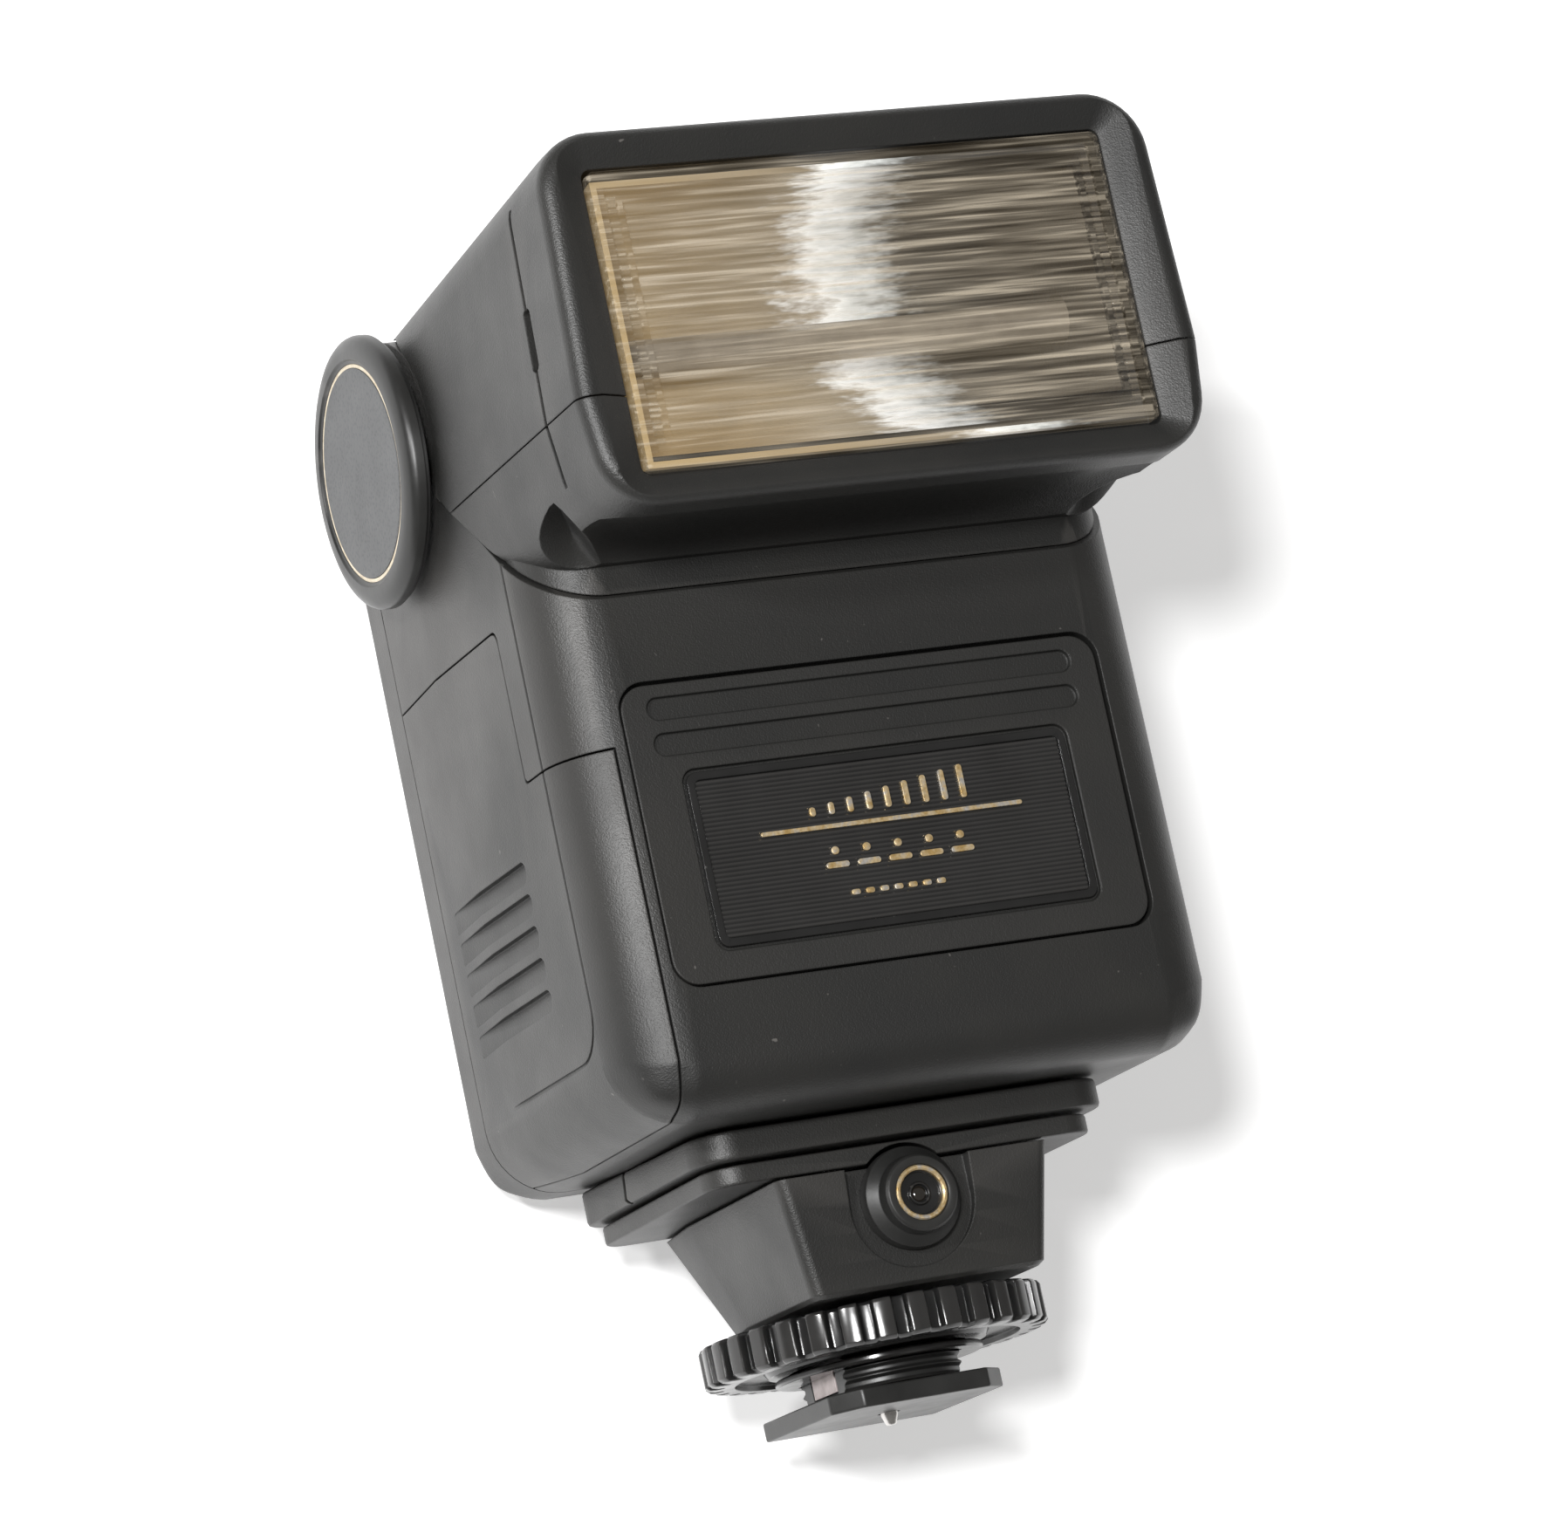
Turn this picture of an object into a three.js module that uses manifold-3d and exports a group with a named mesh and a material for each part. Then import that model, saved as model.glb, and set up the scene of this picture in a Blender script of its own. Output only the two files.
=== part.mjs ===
// Shoe-mounted electronic flash with a tilting head, built in millimetres, +Z up.
// The front (lamp side) faces -Y. The origin is the centre of the shoe foot's underside.
import * as THREE from 'three';
import { mergeVertices } from 'three/addons/utils/BufferGeometryUtils.js';
import Module from 'manifold-3d';

const wasm = await Module();
wasm.setup();

// ---------------------------------------------------------------- driving dimensions
const GAP = 0.3; // clearance between neighbouring pieces
const ARC_STEPS = 3; // half the facets of one rounded corner

const BODY_HALF_W = 31.5; // side plane in front of the side crease
const BODY_FRONT = -29.3;
const BODY_BACK = 22;
const BODY_BOTTOM = 27.6;
const BODY_CORNER_R = 7; // lower corners, seen from the front
const BODY_EDGE_R = 7; // vertical front edges, seen from above
const BODY_TAPER = 1.9; // how far each side moves in from the crease (Y = 0) to the back
const BOTTOM_RISE = 1.1; // and how far the bottom rises
const BODY_WALL = 2.2;
const FRONT_TOP = 77.5; // top of the body's front face, at the seam under the head
const SHOULDER_TOP = 101;
const SPLIT_Y = 14; // front shell ends here, rear cover starts a gap behind

const PIVOT_Z = 100;
const BARREL_R = 14; // rear of the head, round about the pivot
const BARREL_HALF_W = 27.6;
const EAR_INNER_X = 28;
const EAR_R = 12.6;
const EAR_FOOT_Z = 82;
const SLOPE = THREE.MathUtils.degToRad(42); // seam between head and body, seen from the side
const AXLE_R = 3.8;
const AXLE_BORE_R = 2.2;

const HEAD_FRONT = -51;
const HEAD_BOTTOM = 80.6;
const HEAD_TOP = 116.8;
const HEAD_REAR_TOP = PIVOT_Z + BARREL_R;
const HEAD_PARTING = 101.3;
const HEAD_HALF_W = { bottom: 31.0, parting: 32.2, top: 31.5 };
const HEAD_CORNER_R = 6;
const HEAD_WALL = 2;
const WINDOW = { halfW: 26.6, bottom: 83.9, top: 112.9, front: -50.3, back: -48.9 };

const PANEL = { halfW: 25.1, bottom: 39.7, top: 68.8, depth: 1.4, r: 2.5 };
const PLATE = { halfW: 20, bottom: 42.9, top: 59.9, depth: 0.7 };

const DOOR = { frontX: -26.6, top: 78.2, stepZ: 63, stepY: -17.8 };
const GRIPS = { count: 5, top: 56.7, pitch: 3.15, height: 2.2, depth: 0.8, y0: -13.4, y1: 10 };

const TRAY = { halfW: 25.5, y0: -26.7, y1: 4.5, z0: 32.2, z1: 63.3, wall: 1 };

const FLANGE = { halfW: 21.9, y0: -18.7, y1: 16.4, z0: 24.4, z1: 27.3, corner: 4 };
const MODULE = { halfW: 20.6, y0: -17.2, y1: 15.6, z0: 22.2, z1: 24.1, corner: 3.5 };
const NECK = { topHalfW: 14.5, bottomHalfW: 12.4, frontTop: -18, frontBottom: -16.4,
  backTop: 16, backBottom: 7.6, z0: 10.2, z1: 21.9, wall: 2, corner: 2 };
const SENSOR = { x: -0.8, z: 18.4, recessHalfW: 6.4, recessDepth: 1, bezelR: 5 };

const RING = { r: 17.2, z0: 5.4, z1: 9.6, teeth: 32, toothDepth: 0.7, bore: 8.8 };
const WASHER = { r: 10.4, z0: 4.4, z1: 5.1 };
const FOOT = { half: 9.3, halfY: 9.9, top: 1.9, chamfer: 2.6 };
const STEM = { r: 8.4, flatX: 6.2, z0: 2.2, z1: 9.9, bore: 1.9 };
const PIN = { r: 0.85, tip: -1.2, top: 8.2, collarR: 1.55, collarZ: 2.5, collarH: 0.6 };

const CAP = { r: 13.6, x0: 32.5, x1: 35.1, inlayR: 10.4, inlayDepth: 0.8 };
const DIAL = { x: 0, z: 62, r: 13.5, thickness: 1.8 };
const REAR_PLATE = { halfW: 21, bottom: 46, top: 80, depth: 1 };
const SWITCH_Z = 38.5;
const MODE_Z = 87;

// ---------------------------------------------------------------- looks
const look = (color, roughness, metalness = 0) => ({ color, roughness, metalness });
const LOOKS = {
  casing: look(0x151515, 0.5),
  glossBlack: look(0x0b0b0c, 0.2),
  inlay: look(0x3a3b3d, 0.6),
  clear: look(0xd9d2bd, 0.1),
  gold: look(0xb59a5f, 0.3, 1),
  steel: look(0xa9a6a2, 0.35, 1),
  brightAlloy: look(0xd6d2c6, 0.15, 1),
  board: look(0x2c5a34, 0.6),
  sleeve: look(0x22324a, 0.45),
  copper: look(0x9c5a2c, 0.4, 1),
  rubber: look(0x101010, 0.8),
  amber: look(0xc8541c, 0.3),
  lensDark: look(0x1a1410, 0.1),
};

// ---------------------------------------------------------------- solids
function solid(geometry) {
  const g = geometry.clone();
  g.deleteAttribute('normal');
  g.deleteAttribute('uv');
  const merged = mergeVertices(g, 1e-4);
  return new wasm.Manifold(new wasm.Mesh({
    numProp: 3,
    vertProperties: new Float32Array(merged.attributes.position.array),
    triVerts: new Uint32Array(merged.index.array),
  }));
}

function geometryOf(manifold) {
  const mesh = manifold.getMesh();
  const g = new THREE.BufferGeometry();
  g.setAttribute('position', new THREE.BufferAttribute(new Float32Array(mesh.vertProperties), 3));
  g.setIndex(new THREE.BufferAttribute(new Uint32Array(mesh.triVerts), 1));
  return g;
}

const join = (first, ...rest) => rest.reduce((a, b) => a.add(b), first);
const cut = (first, ...rest) => rest.reduce((a, b) => a.subtract(b), first);
const meet = (first, ...rest) => rest.reduce((a, b) => a.intersect(b), first);

// An outline through corners [a, b, radius]; a corner with no radius stays sharp.
function outline(corners) {
  const shape = new THREE.Shape();
  const n = corners.length;
  corners.forEach(([x, y, r = 0], i) => {
    const p = new THREE.Vector2(x, y);
    const toPrev = new THREE.Vector2(...corners[(i + n - 1) % n].slice(0, 2)).sub(p).normalize();
    const toNext = new THREE.Vector2(...corners[(i + 1) % n].slice(0, 2)).sub(p).normalize();
    const half = Math.acos(THREE.MathUtils.clamp(toPrev.dot(toNext), -1, 1)) / 2;
    const reach = r / Math.tan(half);
    const start = p.clone().addScaledVector(toPrev, reach);
    if (i === 0) shape.moveTo(start.x, start.y);
    else shape.lineTo(start.x, start.y);
    if (r === 0) return;
    const end = p.clone().addScaledVector(toNext, reach);
    const inward = toPrev.clone().add(toNext).normalize();
    const centre = p.clone().addScaledVector(inward, r / Math.sin(half));
    const a0 = Math.atan2(start.y - centre.y, start.x - centre.x);
    const a1 = Math.atan2(end.y - centre.y, end.x - centre.x);
    shape.absarc(centre.x, centre.y, r, a0, a1, toPrev.cross(toNext) > 0);
  });
  return shape;
}

const rect = (a0, a1, b0, b1, r = 0) => outline([[a0, b0, r], [a1, b0, r], [a1, b1, r], [a0, b1, r]]);
// The opening around an upright plate, a gap larger than the plate.
const around = ({ halfW, bottom, top }, r) => rect(-halfW - GAP, halfW + GAP, bottom - GAP, top + GAP, r);

function disc(r, a = 0, b = 0) {
  const shape = new THREE.Shape();
  shape.absarc(a, b, r, 0, Math.PI * 2);
  return shape;
}

// Extrudes an outline along one axis. The outline's two coordinates are the other two axes, in X, Y, Z order.
const X_AXIS = new THREE.Vector3(1, 0, 0);
const Y_AXIS = new THREE.Vector3(0, 1, 0);
const Z_AXIS = new THREE.Vector3(0, 0, 1);
const AXIS_FRAMES = {
  x: new THREE.Matrix4().makeBasis(Y_AXIS, Z_AXIS, X_AXIS),
  y: new THREE.Matrix4().makeBasis(X_AXIS, Z_AXIS, Y_AXIS.clone().negate()),
  z: new THREE.Matrix4(),
};

function prismGeometry(axis, shape, from, to, steps = 1, curveSegments = ARC_STEPS) {
  const g = new THREE.ExtrudeGeometry(shape, { depth: to - from, steps, bevelEnabled: false, curveSegments });
  g.translate(0, 0, axis === 'y' ? -to : from);
  return g.applyMatrix4(AXIS_FRAMES[axis]);
}

const prism = (axis, shape, from, to, arcs) => solid(prismGeometry(axis, shape, from, to, 1, arcs));
const box = (x0, x1, y0, y1, z0, z1) => prism('z', rect(x0, x1, y0, y1), z0, z1);
const rod = (axis, r, from, to, a = 0, b = 0, sides = 20) => prism(axis, disc(r, a, b), from, to, sides / 2);
const tube = (axis, r, bore, from, to, a = 0, b = 0, sides = 20) =>
  cut(rod(axis, r, from, to, a, b, sides), rod(axis, bore, from - 1, to + 1, a, b, sides));

function turned(profile, sides = 20) {
  const points = profile.map(([r, h]) => new THREE.Vector2(r, h));
  return new THREE.LatheGeometry(points, sides).rotateX(Math.PI / 2);
}

function morph(geometry, move) {
  const p = geometry.attributes.position;
  for (let i = 0; i < p.count; i += 1) {
    const [x, y, z] = move(p.getX(i), p.getY(i), p.getZ(i));
    p.setXYZ(i, x, y, z);
  }
  return geometry;
}

// ---------------------------------------------------------------- scene helpers
const flash = new THREE.Group();

function part(name, shape, { color, roughness, metalness }, parent = flash) {
  const geometry = shape.isBufferGeometry ? shape : geometryOf(shape);
  const mesh = new THREE.Mesh(geometry, new THREE.MeshStandardMaterial({ color, roughness, metalness }));
  mesh.name = name;
  parent.add(mesh);
  return mesh;
}

function place(x, y, z, parent = flash) {
  const group = new THREE.Group();
  group.position.set(x, y, z);
  parent.add(group);
  return group;
}

// A pan-head screw along +Z with its head on top at Z = 0, and a cross recess.
function screw(headR, headH, shankR, length) {
  const blank = solid(turned([[0, -headH - length], [shankR, -headH - length], [shankR, -headH],
    [headR, -headH], [headR, -headH * 0.4], [headR * 0.7, 0], [0, 0]], 12));
  const slot = headR * 0.6;
  const bar = headR * 0.14;
  const floor = -headH * 0.6;
  return cut(blank, box(-slot, slot, -bar, bar, floor, 1), box(-bar, bar, -slot, slot, floor, 1));
}

// ---------------------------------------------------------------- body casing
// The body's outer skin, shrunk inwards by t: an outline seen from the front, straight from the
// front to the crease at Y = 0 and tapering behind it.
function bodyBlock(t) {
  const w = BODY_HALF_W - t;
  const shape = outline([[-w, BODY_BOTTOM + t, BODY_CORNER_R - t], [w, BODY_BOTTOM + t, BODY_CORNER_R - t],
    [w, 125], [-w, 125]]);
  const g = prismGeometry('y', shape, -1, 1, 2);
  const taper = BODY_TAPER / BODY_HALF_W;
  return solid(morph(g, (x, y, z) => {
    if (y < -0.5) return [x, BODY_FRONT + t, z];
    if (y < 0.5) return [x, 0, z];
    return [x * (1 - taper), BODY_BACK - t, z < PIVOT_Z ? z + BOTTOM_RISE : z];
  }));
}

function bodyPlan(t) {
  const w = BODY_HALF_W + 0.1 - t;
  const back = BODY_HALF_W - BODY_TAPER + 0.6 - t;
  const r = BODY_EDGE_R - t;
  return outline([[-w, BODY_FRONT + t, r], [w, BODY_FRONT + t, r], [w, 1], [back, BODY_BACK - t, 4 - t / 2],
    [-back, BODY_BACK - t, 4 - t / 2], [-w, 1]]);
}

// Where the sloping seam, lowered by t, meets a circle of radius r about the pivot.
function seamMeets(r, t) {
  const dir = new THREE.Vector2(Math.cos(SLOPE), Math.sin(SLOPE));
  const lowered = new THREE.Vector2(dir.y, -dir.x).multiplyScalar(t);
  const start = new THREE.Vector2(BODY_FRONT, FRONT_TOP - PIVOT_Z).add(lowered);
  const along = -start.dot(dir);
  const off = Math.abs(start.cross(dir));
  return start.addScaledVector(dir, along - Math.sqrt(r * r - off * off));
}

// The side profile below the head: front face, sloping seam, round saddle for the barrel, shoulder.
function bodyProfile(t) {
  const saddle = BARREL_R + 0.4 + t;
  const hit = seamMeets(saddle, t);
  const front = BODY_FRONT + t;
  const shape = new THREE.Shape();
  const seamZ = hit.y - (hit.x - front) * Math.tan(SLOPE) + PIVOT_Z;
  shape.moveTo(BODY_BACK + 1, BODY_BOTTOM + t - 0.1);
  shape.lineTo(BODY_BACK + 1, SHOULDER_TOP - t);
  shape.lineTo(saddle, SHOULDER_TOP - t);
  shape.lineTo(saddle, PIVOT_Z);
  shape.absarc(0, PIVOT_Z, saddle, 0, Math.atan2(hit.y, hit.x), true);
  shape.lineTo(front - 0.1, seamZ);
  const r = 4.5 - t / 2;
  shape.lineTo(front - 0.1, BODY_BOTTOM + t - 0.1 + r);
  shape.absarc(front - 0.1 + r, BODY_BOTTOM + t - 0.1 + r, r, Math.PI, Math.PI * 1.5, false);
  return shape;
}

const bodyForm = (t) => meet(
  bodyBlock(t),
  prism('z', bodyPlan(t), 20, 126),
  prism('x', bodyProfile(t), -40, 40, 6),
);

// The ears beside the barrel: a round boss about the pivot on a foot that fills down to the saddle.
function ear(side) {
  const span = [side * EAR_INNER_X, side * (BODY_HALF_W - 0.1)].sort((a, b) => a - b);
  const hit = seamMeets(EAR_R, 0);
  const front = hit.x - 3;
  const middle = PIVOT_Z - 0.5;
  const foot = outline([[hit.x, hit.y + PIVOT_Z], [0, middle], [SPLIT_Y, middle], [SPLIT_Y, EAR_FOOT_Z],
    [front, EAR_FOOT_Z], [front, hit.y + PIVOT_Z - 3 * Math.tan(SLOPE)]]);
  return join(rod('x', EAR_R, ...span, 0, PIVOT_Z, 32), meet(prism('x', foot, ...span), bodyBlock(0.1)));
}

function casing() {
  const ears = [-1, 1].map(ear);
  const skin = join(cut(bodyForm(0), bodyForm(BODY_WALL)), ...ears);
  return cut(skin, rod('x', AXLE_R + GAP, -40, 40, 0, PIVOT_Z));
}

// The door's share of the casing: the left side, the lower front edge and the lower left corner.
function doorRegion(grow) {
  const low = box(-40, DOOR.frontX + grow, -40, SPLIT_Y + 1, 0, DOOR.stepZ + grow);
  const high = box(-40, DOOR.frontX + grow, DOOR.stepY - grow, SPLIT_Y + 1, 0, DOOR.top + grow);
  return join(low, high);
}

const wholeCasing = casing();
const behindSplit = box(-50, 50, SPLIT_Y + GAP, 60, 0, 140);
const beforeSplit = box(-50, 50, -60, SPLIT_Y, 0, 140);

const COVER_SCREWS = [[-21, 32.6], [21, 32.6], [-23.6, 82], [23.6, 82]];
const BOSS = { r: 3, y0: 5.2, y1: 13.7, bore: 1.5 };

function frontShell() {
  const bosses = COVER_SCREWS.map(([x, z]) => rod('y', BOSS.r, BOSS.y0, BOSS.y1, x, z, 12));
  const bores = COVER_SCREWS.map(([x, z]) => rod('y', BOSS.bore, BOSS.y0 + 1, BOSS.y1 + 1, x, z, 10));
  const panelHole = prism('y', around(PANEL, PANEL.r), BODY_FRONT - 1, BODY_FRONT + PANEL.depth + GAP);
  const neckHole = box(-11, 11, -11, 11, 20, BODY_BOTTOM + BODY_WALL + 1);
  return cut(join(meet(wholeCasing, beforeSplit), ...bosses), doorRegion(GAP), panelHole, neckHole, ...bores);
}

function rearCover() {
  const holes = COVER_SCREWS.map(([x, z]) => rod('y', BOSS.bore, 0, 40, x, z, 10));
  const sinks = COVER_SCREWS.map(([x, z]) => rod('y', 2.7, BODY_BACK - 1.4, 40, x, z, 14));
  const plateBed = prism('y', around(REAR_PLATE, 2), BODY_BACK - REAR_PLATE.depth - GAP, 40);
  const dialHole = rod('y', 2, 0, 40, DIAL.x, DIAL.z, 16);
  const lampHole = rod('y', 2.8, 0, 40, -15, SWITCH_Z, 16);
  const buttonHole = rod('y', 3.5, 0, 40, 15, SWITCH_Z, 16);
  const powerSlot = box(-6.5, 6.5, 0, 40, SWITCH_Z - 1.6, SWITCH_Z + 1.6);
  const modeSlot = box(-8, 8, 0, 40, MODE_Z - 1.4, MODE_Z + 1.4);
  return cut(meet(wholeCasing, behindSplit), plateBed, dialHole, lampHole, buttonHole, powerSlot, modeSlot,
    ...holes, ...sinks);
}

part('front_shell', frontShell(), LOOKS.casing);
part('rear_cover', rearCover(), LOOKS.casing);

COVER_SCREWS.forEach(([x, z], i) => {
  const seat = place(x, BODY_BACK - 0.2, z);
  part(`rear_cover_screw_${i + 1}`, screw(2.3, 1, 1.1, 12), LOOKS.steel, seat).rotation.x = -Math.PI / 2;
});

// ---------------------------------------------------------------- front panel and nameplate
function frontPanel() {
  const y1 = BODY_FRONT + PANEL.depth;
  const y0 = BODY_FRONT + 0.4;
  const outlineShape = rect(-PANEL.halfW, PANEL.halfW, PANEL.bottom, PANEL.top, PANEL.r - GAP);
  const groove = (z) => prism('y', rect(-22.4, 22.4, z - 1.1, z + 1.1, 1.05), y0 - 1, y0 + 0.4);
  const grooves = [66.4, 62.9].map(groove);
  const bed = prism('y', around(PLATE, 1), y0 - 1, y0 + PLATE.depth);
  return cut(prism('y', outlineShape, y0, y1), ...grooves, bed);
}
part('front_panel', frontPanel(), LOOKS.casing);
part('nameplate', prism('y', rect(-PLATE.halfW, PLATE.halfW, PLATE.bottom, PLATE.top, 0.8),
  BODY_FRONT + 0.3, BODY_FRONT + 0.4 + PLATE.depth - GAP), LOOKS.glossBlack);

// ---------------------------------------------------------------- battery door and compartment
function batteryDoor() {
  const skin = cut(meet(wholeCasing, beforeSplit, doorRegion(0)),
    box(DOOR.frontX - 8, 0, SPLIT_Y - 3, SPLIT_Y + 2, 40, 41));
  const grips = [];
  for (let i = 0; i < GRIPS.count; i += 1) {
    const top = GRIPS.top - i * GRIPS.pitch;
    grips.push(prism('x', rect(GRIPS.y0, GRIPS.y1, top - GRIPS.height, top, GRIPS.height / 2 - 0.05),
      -40, -BODY_HALF_W + GRIPS.depth, 4));
  }
  return cut(skin, ...grips);
}
part('battery_door', batteryDoor(), LOOKS.casing);
part('door_contact_strip', box(-28.7, -28.3, -23.5, 2.5, 38.5, 60.5), LOOKS.steel);

const trayOuter = box(-TRAY.halfW, TRAY.halfW, TRAY.y0, TRAY.y1, TRAY.z0, TRAY.z1);
const trayInner = box(-TRAY.halfW - 1, TRAY.halfW - TRAY.wall, TRAY.y0 + TRAY.wall, TRAY.y1 - TRAY.wall,
  TRAY.z0 + TRAY.wall, TRAY.z1 - TRAY.wall);
part('battery_tray', cut(trayOuter, trayInner), LOOKS.casing);

// A flat-wound coil contact spring as one bent wire along X.
function coilSpring(r, wire, length, turns, sides = 6) {
  const points = [];
  const count = turns * 12;
  for (let i = 0; i <= count; i += 1) {
    const a = (i / 12) * Math.PI * 2;
    points.push(new THREE.Vector3(r * Math.cos(a), r * Math.sin(a), (length * i) / count));
  }
  const path = new THREE.CatmullRomCurve3(points);
  const ring = outline(Array.from({ length: sides }, (_, i) => {
    const a = (i / sides) * Math.PI * 2;
    return [wire * Math.cos(a), wire * Math.sin(a)];
  }));
  return new THREE.ExtrudeGeometry(ring, { steps: count, bevelEnabled: false, extrudePath: path });
}

const TRAY_END = TRAY.halfW - TRAY.wall;
[[-18.3, 'upper', 55.5], [-4, 'lower', 41]].forEach(([y, level, z]) => {
  const spring = coilSpring(3, 0.35, 2.6, 3);
  const seat = place(TRAY_END - GAP - 3.2, y, z);
  part(`battery_spring_${level}`, spring, LOOKS.steel, seat).rotation.y = Math.PI / 2;
});
part('battery_contact_plate', box(TRAY_END - 0.7, TRAY_END - GAP, -10, 2, 48, 60), LOOKS.steel);

// ---------------------------------------------------------------- electronics in the body
part('circuit_board', box(-22, 22, 6.6, 8.2, 37.5, 77), LOOKS.board);
const capacitorSeat = place(-22, -11, 71.2);
const can = turned([[0, 0], [6.6, 0], [6.6, 1], [6.9, 1.6], [6.9, 33], [6.6, 33.6], [0, 33.6]], 24);
part('main_capacitor', can, LOOKS.sleeve, capacitorSeat).rotation.y = Math.PI / 2;
const yokes = [64, 73.5].map((z) => box(14.5, 26, -18, -6, z, z + 2.5));
part('transformer_core', join(box(17.5, 23, -15, -9, 66, 74), ...yokes), LOOKS.steel);
const winding = cut(box(15.2, 25.3, -17.3, -6.7, 66.8, 73.2), box(17.2, 23.3, -15.3, -8.7, 60, 80));
part('transformer_winding', winding, LOOKS.copper);

// ---------------------------------------------------------------- tilting head
const head = place(0, 0, 0);

// Side profile of the head, shrunk inwards by t.
function headProfile(t) {
  const r = BARREL_R - t;
  const lift = GAP + t;
  const hit = seamMeets(r, -lift);
  const shape = new THREE.Shape();
  shape.moveTo(HEAD_FRONT + t, HEAD_BOTTOM + t);
  shape.lineTo(HEAD_FRONT + t, HEAD_TOP - t);
  shape.lineTo(HEAD_FRONT + 4, HEAD_TOP - t);
  shape.lineTo(0, HEAD_REAR_TOP - t);
  shape.absarc(0, PIVOT_Z, r, Math.PI / 2, Math.atan2(hit.y, hit.x), true);
  const dy = Math.tan(SLOPE);
  const seamFront = BODY_FRONT + t;
  shape.lineTo(seamFront, hit.y + PIVOT_Z - (hit.x - seamFront) * dy);
  shape.lineTo(seamFront - 0.4, HEAD_BOTTOM + t);
  shape.lineTo(seamFront - 2.5, 83.2 + t);
  shape.lineTo(seamFront - 7, 84.8 + t);
  shape.lineTo(seamFront - 12.5, 84.2 + t);
  shape.lineTo(seamFront - 17, 81.6 + t);
  return shape;
}

function headSection(t) {
  const r = HEAD_CORNER_R - t;
  return outline([[-HEAD_HALF_W.bottom + t, 70], [HEAD_HALF_W.bottom - t, 70],
    [HEAD_HALF_W.bottom - t, HEAD_BOTTOM + t], [HEAD_HALF_W.parting - t, HEAD_PARTING],
    [HEAD_HALF_W.top - t, HEAD_TOP + 0.1 - t, r], [-HEAD_HALF_W.top + t, HEAD_TOP + 0.1 - t, r],
    [-HEAD_HALF_W.parting + t, HEAD_PARTING], [-HEAD_HALF_W.bottom + t, HEAD_BOTTOM + t]]);
}

// The bezel's own outline rounds the two lower front corners.
function bezelSection() {
  const w = HEAD_HALF_W.bottom + 0.8;
  const low = HEAD_BOTTOM - 0.1;
  return outline([[-w, low, HEAD_CORNER_R], [w, low, HEAD_CORNER_R], [w + 3, 130], [-w - 3, 130]]);
}

function headForm(t) {
  const block = meet(prism('x', headProfile(t), -40, 40, 8), prism('y', headSection(t), -60, 40));
  const bezelFit = join(prism('y', bezelSection(), -60, -40), box(-40, 40, -40, 40, 60, 130));
  return t > 0 ? block : meet(block, bezelFit);
}

function headCasing() {
  const earRoom = [-1, 1].map((side) => {
    const [x0, x1] = [side * (EAR_INNER_X - GAP), side * 40].sort((a, b) => a - b);
    const gapDisc = rod('x', EAR_R + GAP, x0, x1, 0, PIVOT_Z, 32);
    const behind = box(x0, x1, -0.6, 30, 70, 130);
    const climb = (y) => FRONT_TOP + GAP + (y - BODY_FRONT) * Math.tan(SLOPE);
    const below = outline([[-60, climb(-60)], [-60, 0], [0, 0], [0, climb(0)]]);
    return join(gapDisc, behind, prism('x', below, x0, x1));
  });
  // hollow inside, with end walls left standing on the barrel beside the ears
  const sideRoom = HEAD_WALL;
  const hollow = meet(headForm(HEAD_WALL), box(-40, 40, -60, 40, 60, 130));
  const barrelRoom = cut(hollow, ...[-1, 1].map((side) => {
    const [x0, x1] = [side * (BARREL_HALF_W - sideRoom), side * 40].sort((a, b) => a - b);
    return join(rod('x', EAR_R + GAP + 1.6, x0, x1, 0, PIVOT_Z, 32), box(x0, x1, -2.6, 30, 70, 130));
  }));
  const windowHole = prism('y', around(WINDOW, 1), -60, HEAD_FRONT + HEAD_WALL + 1);
  const axleHoles = rod('x', AXLE_R + GAP, -40, 40, 0, PIVOT_Z);
  return cut(headForm(0), barrelRoom, ...earRoom, windowHole, axleHoles);
}

const wholeHead = headCasing();
const HEAD_SCREW = { x: 19, y: -4, sink: 89.1, seat: 91.1, head: 88 };
const atScrews = (make) => [-1, 1].map((side) => make(side * HEAD_SCREW.x, HEAD_SCREW.y));

function headUpperShell() {
  const bosses = atScrews((x, y) => rod('z', 2.8, HEAD_SCREW.seat + GAP, HEAD_TOP - 4, x, y, 12));
  const bores = atScrews((x, y) => rod('z', 1.4, HEAD_SCREW.seat, HEAD_SCREW.seat + 8, x, y, 10));
  const half = meet(wholeHead, box(-50, 50, -60, 40, HEAD_PARTING + GAP / 2, 140));
  return cut(join(half, ...bosses), ...bores);
}

function headLowerShell() {
  const bosses = atScrews((x, y) => meet(rod('z', 3, 80, HEAD_SCREW.seat, x, y, 12), headForm(0)));
  const sinks = atScrews((x, y) => rod('z', 2.4, 60, HEAD_SCREW.sink, x, y, 12));
  const bores = atScrews((x, y) => rod('z', 1.4, 60, 96, x, y, 10));
  const half = meet(wholeHead, box(-50, 50, -60, 40, 60, HEAD_PARTING - GAP / 2));
  return cut(join(half, ...bosses), ...sinks, ...bores);
}

part('head_upper_shell', headUpperShell(), LOOKS.casing, head);
part('head_lower_shell', headLowerShell(), LOOKS.casing, head);
part('flash_window', prism('y', rect(-WINDOW.halfW, WINDOW.halfW, WINDOW.bottom, WINDOW.top, 0.8),
  WINDOW.front, WINDOW.back), LOOKS.clear, head);

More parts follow.
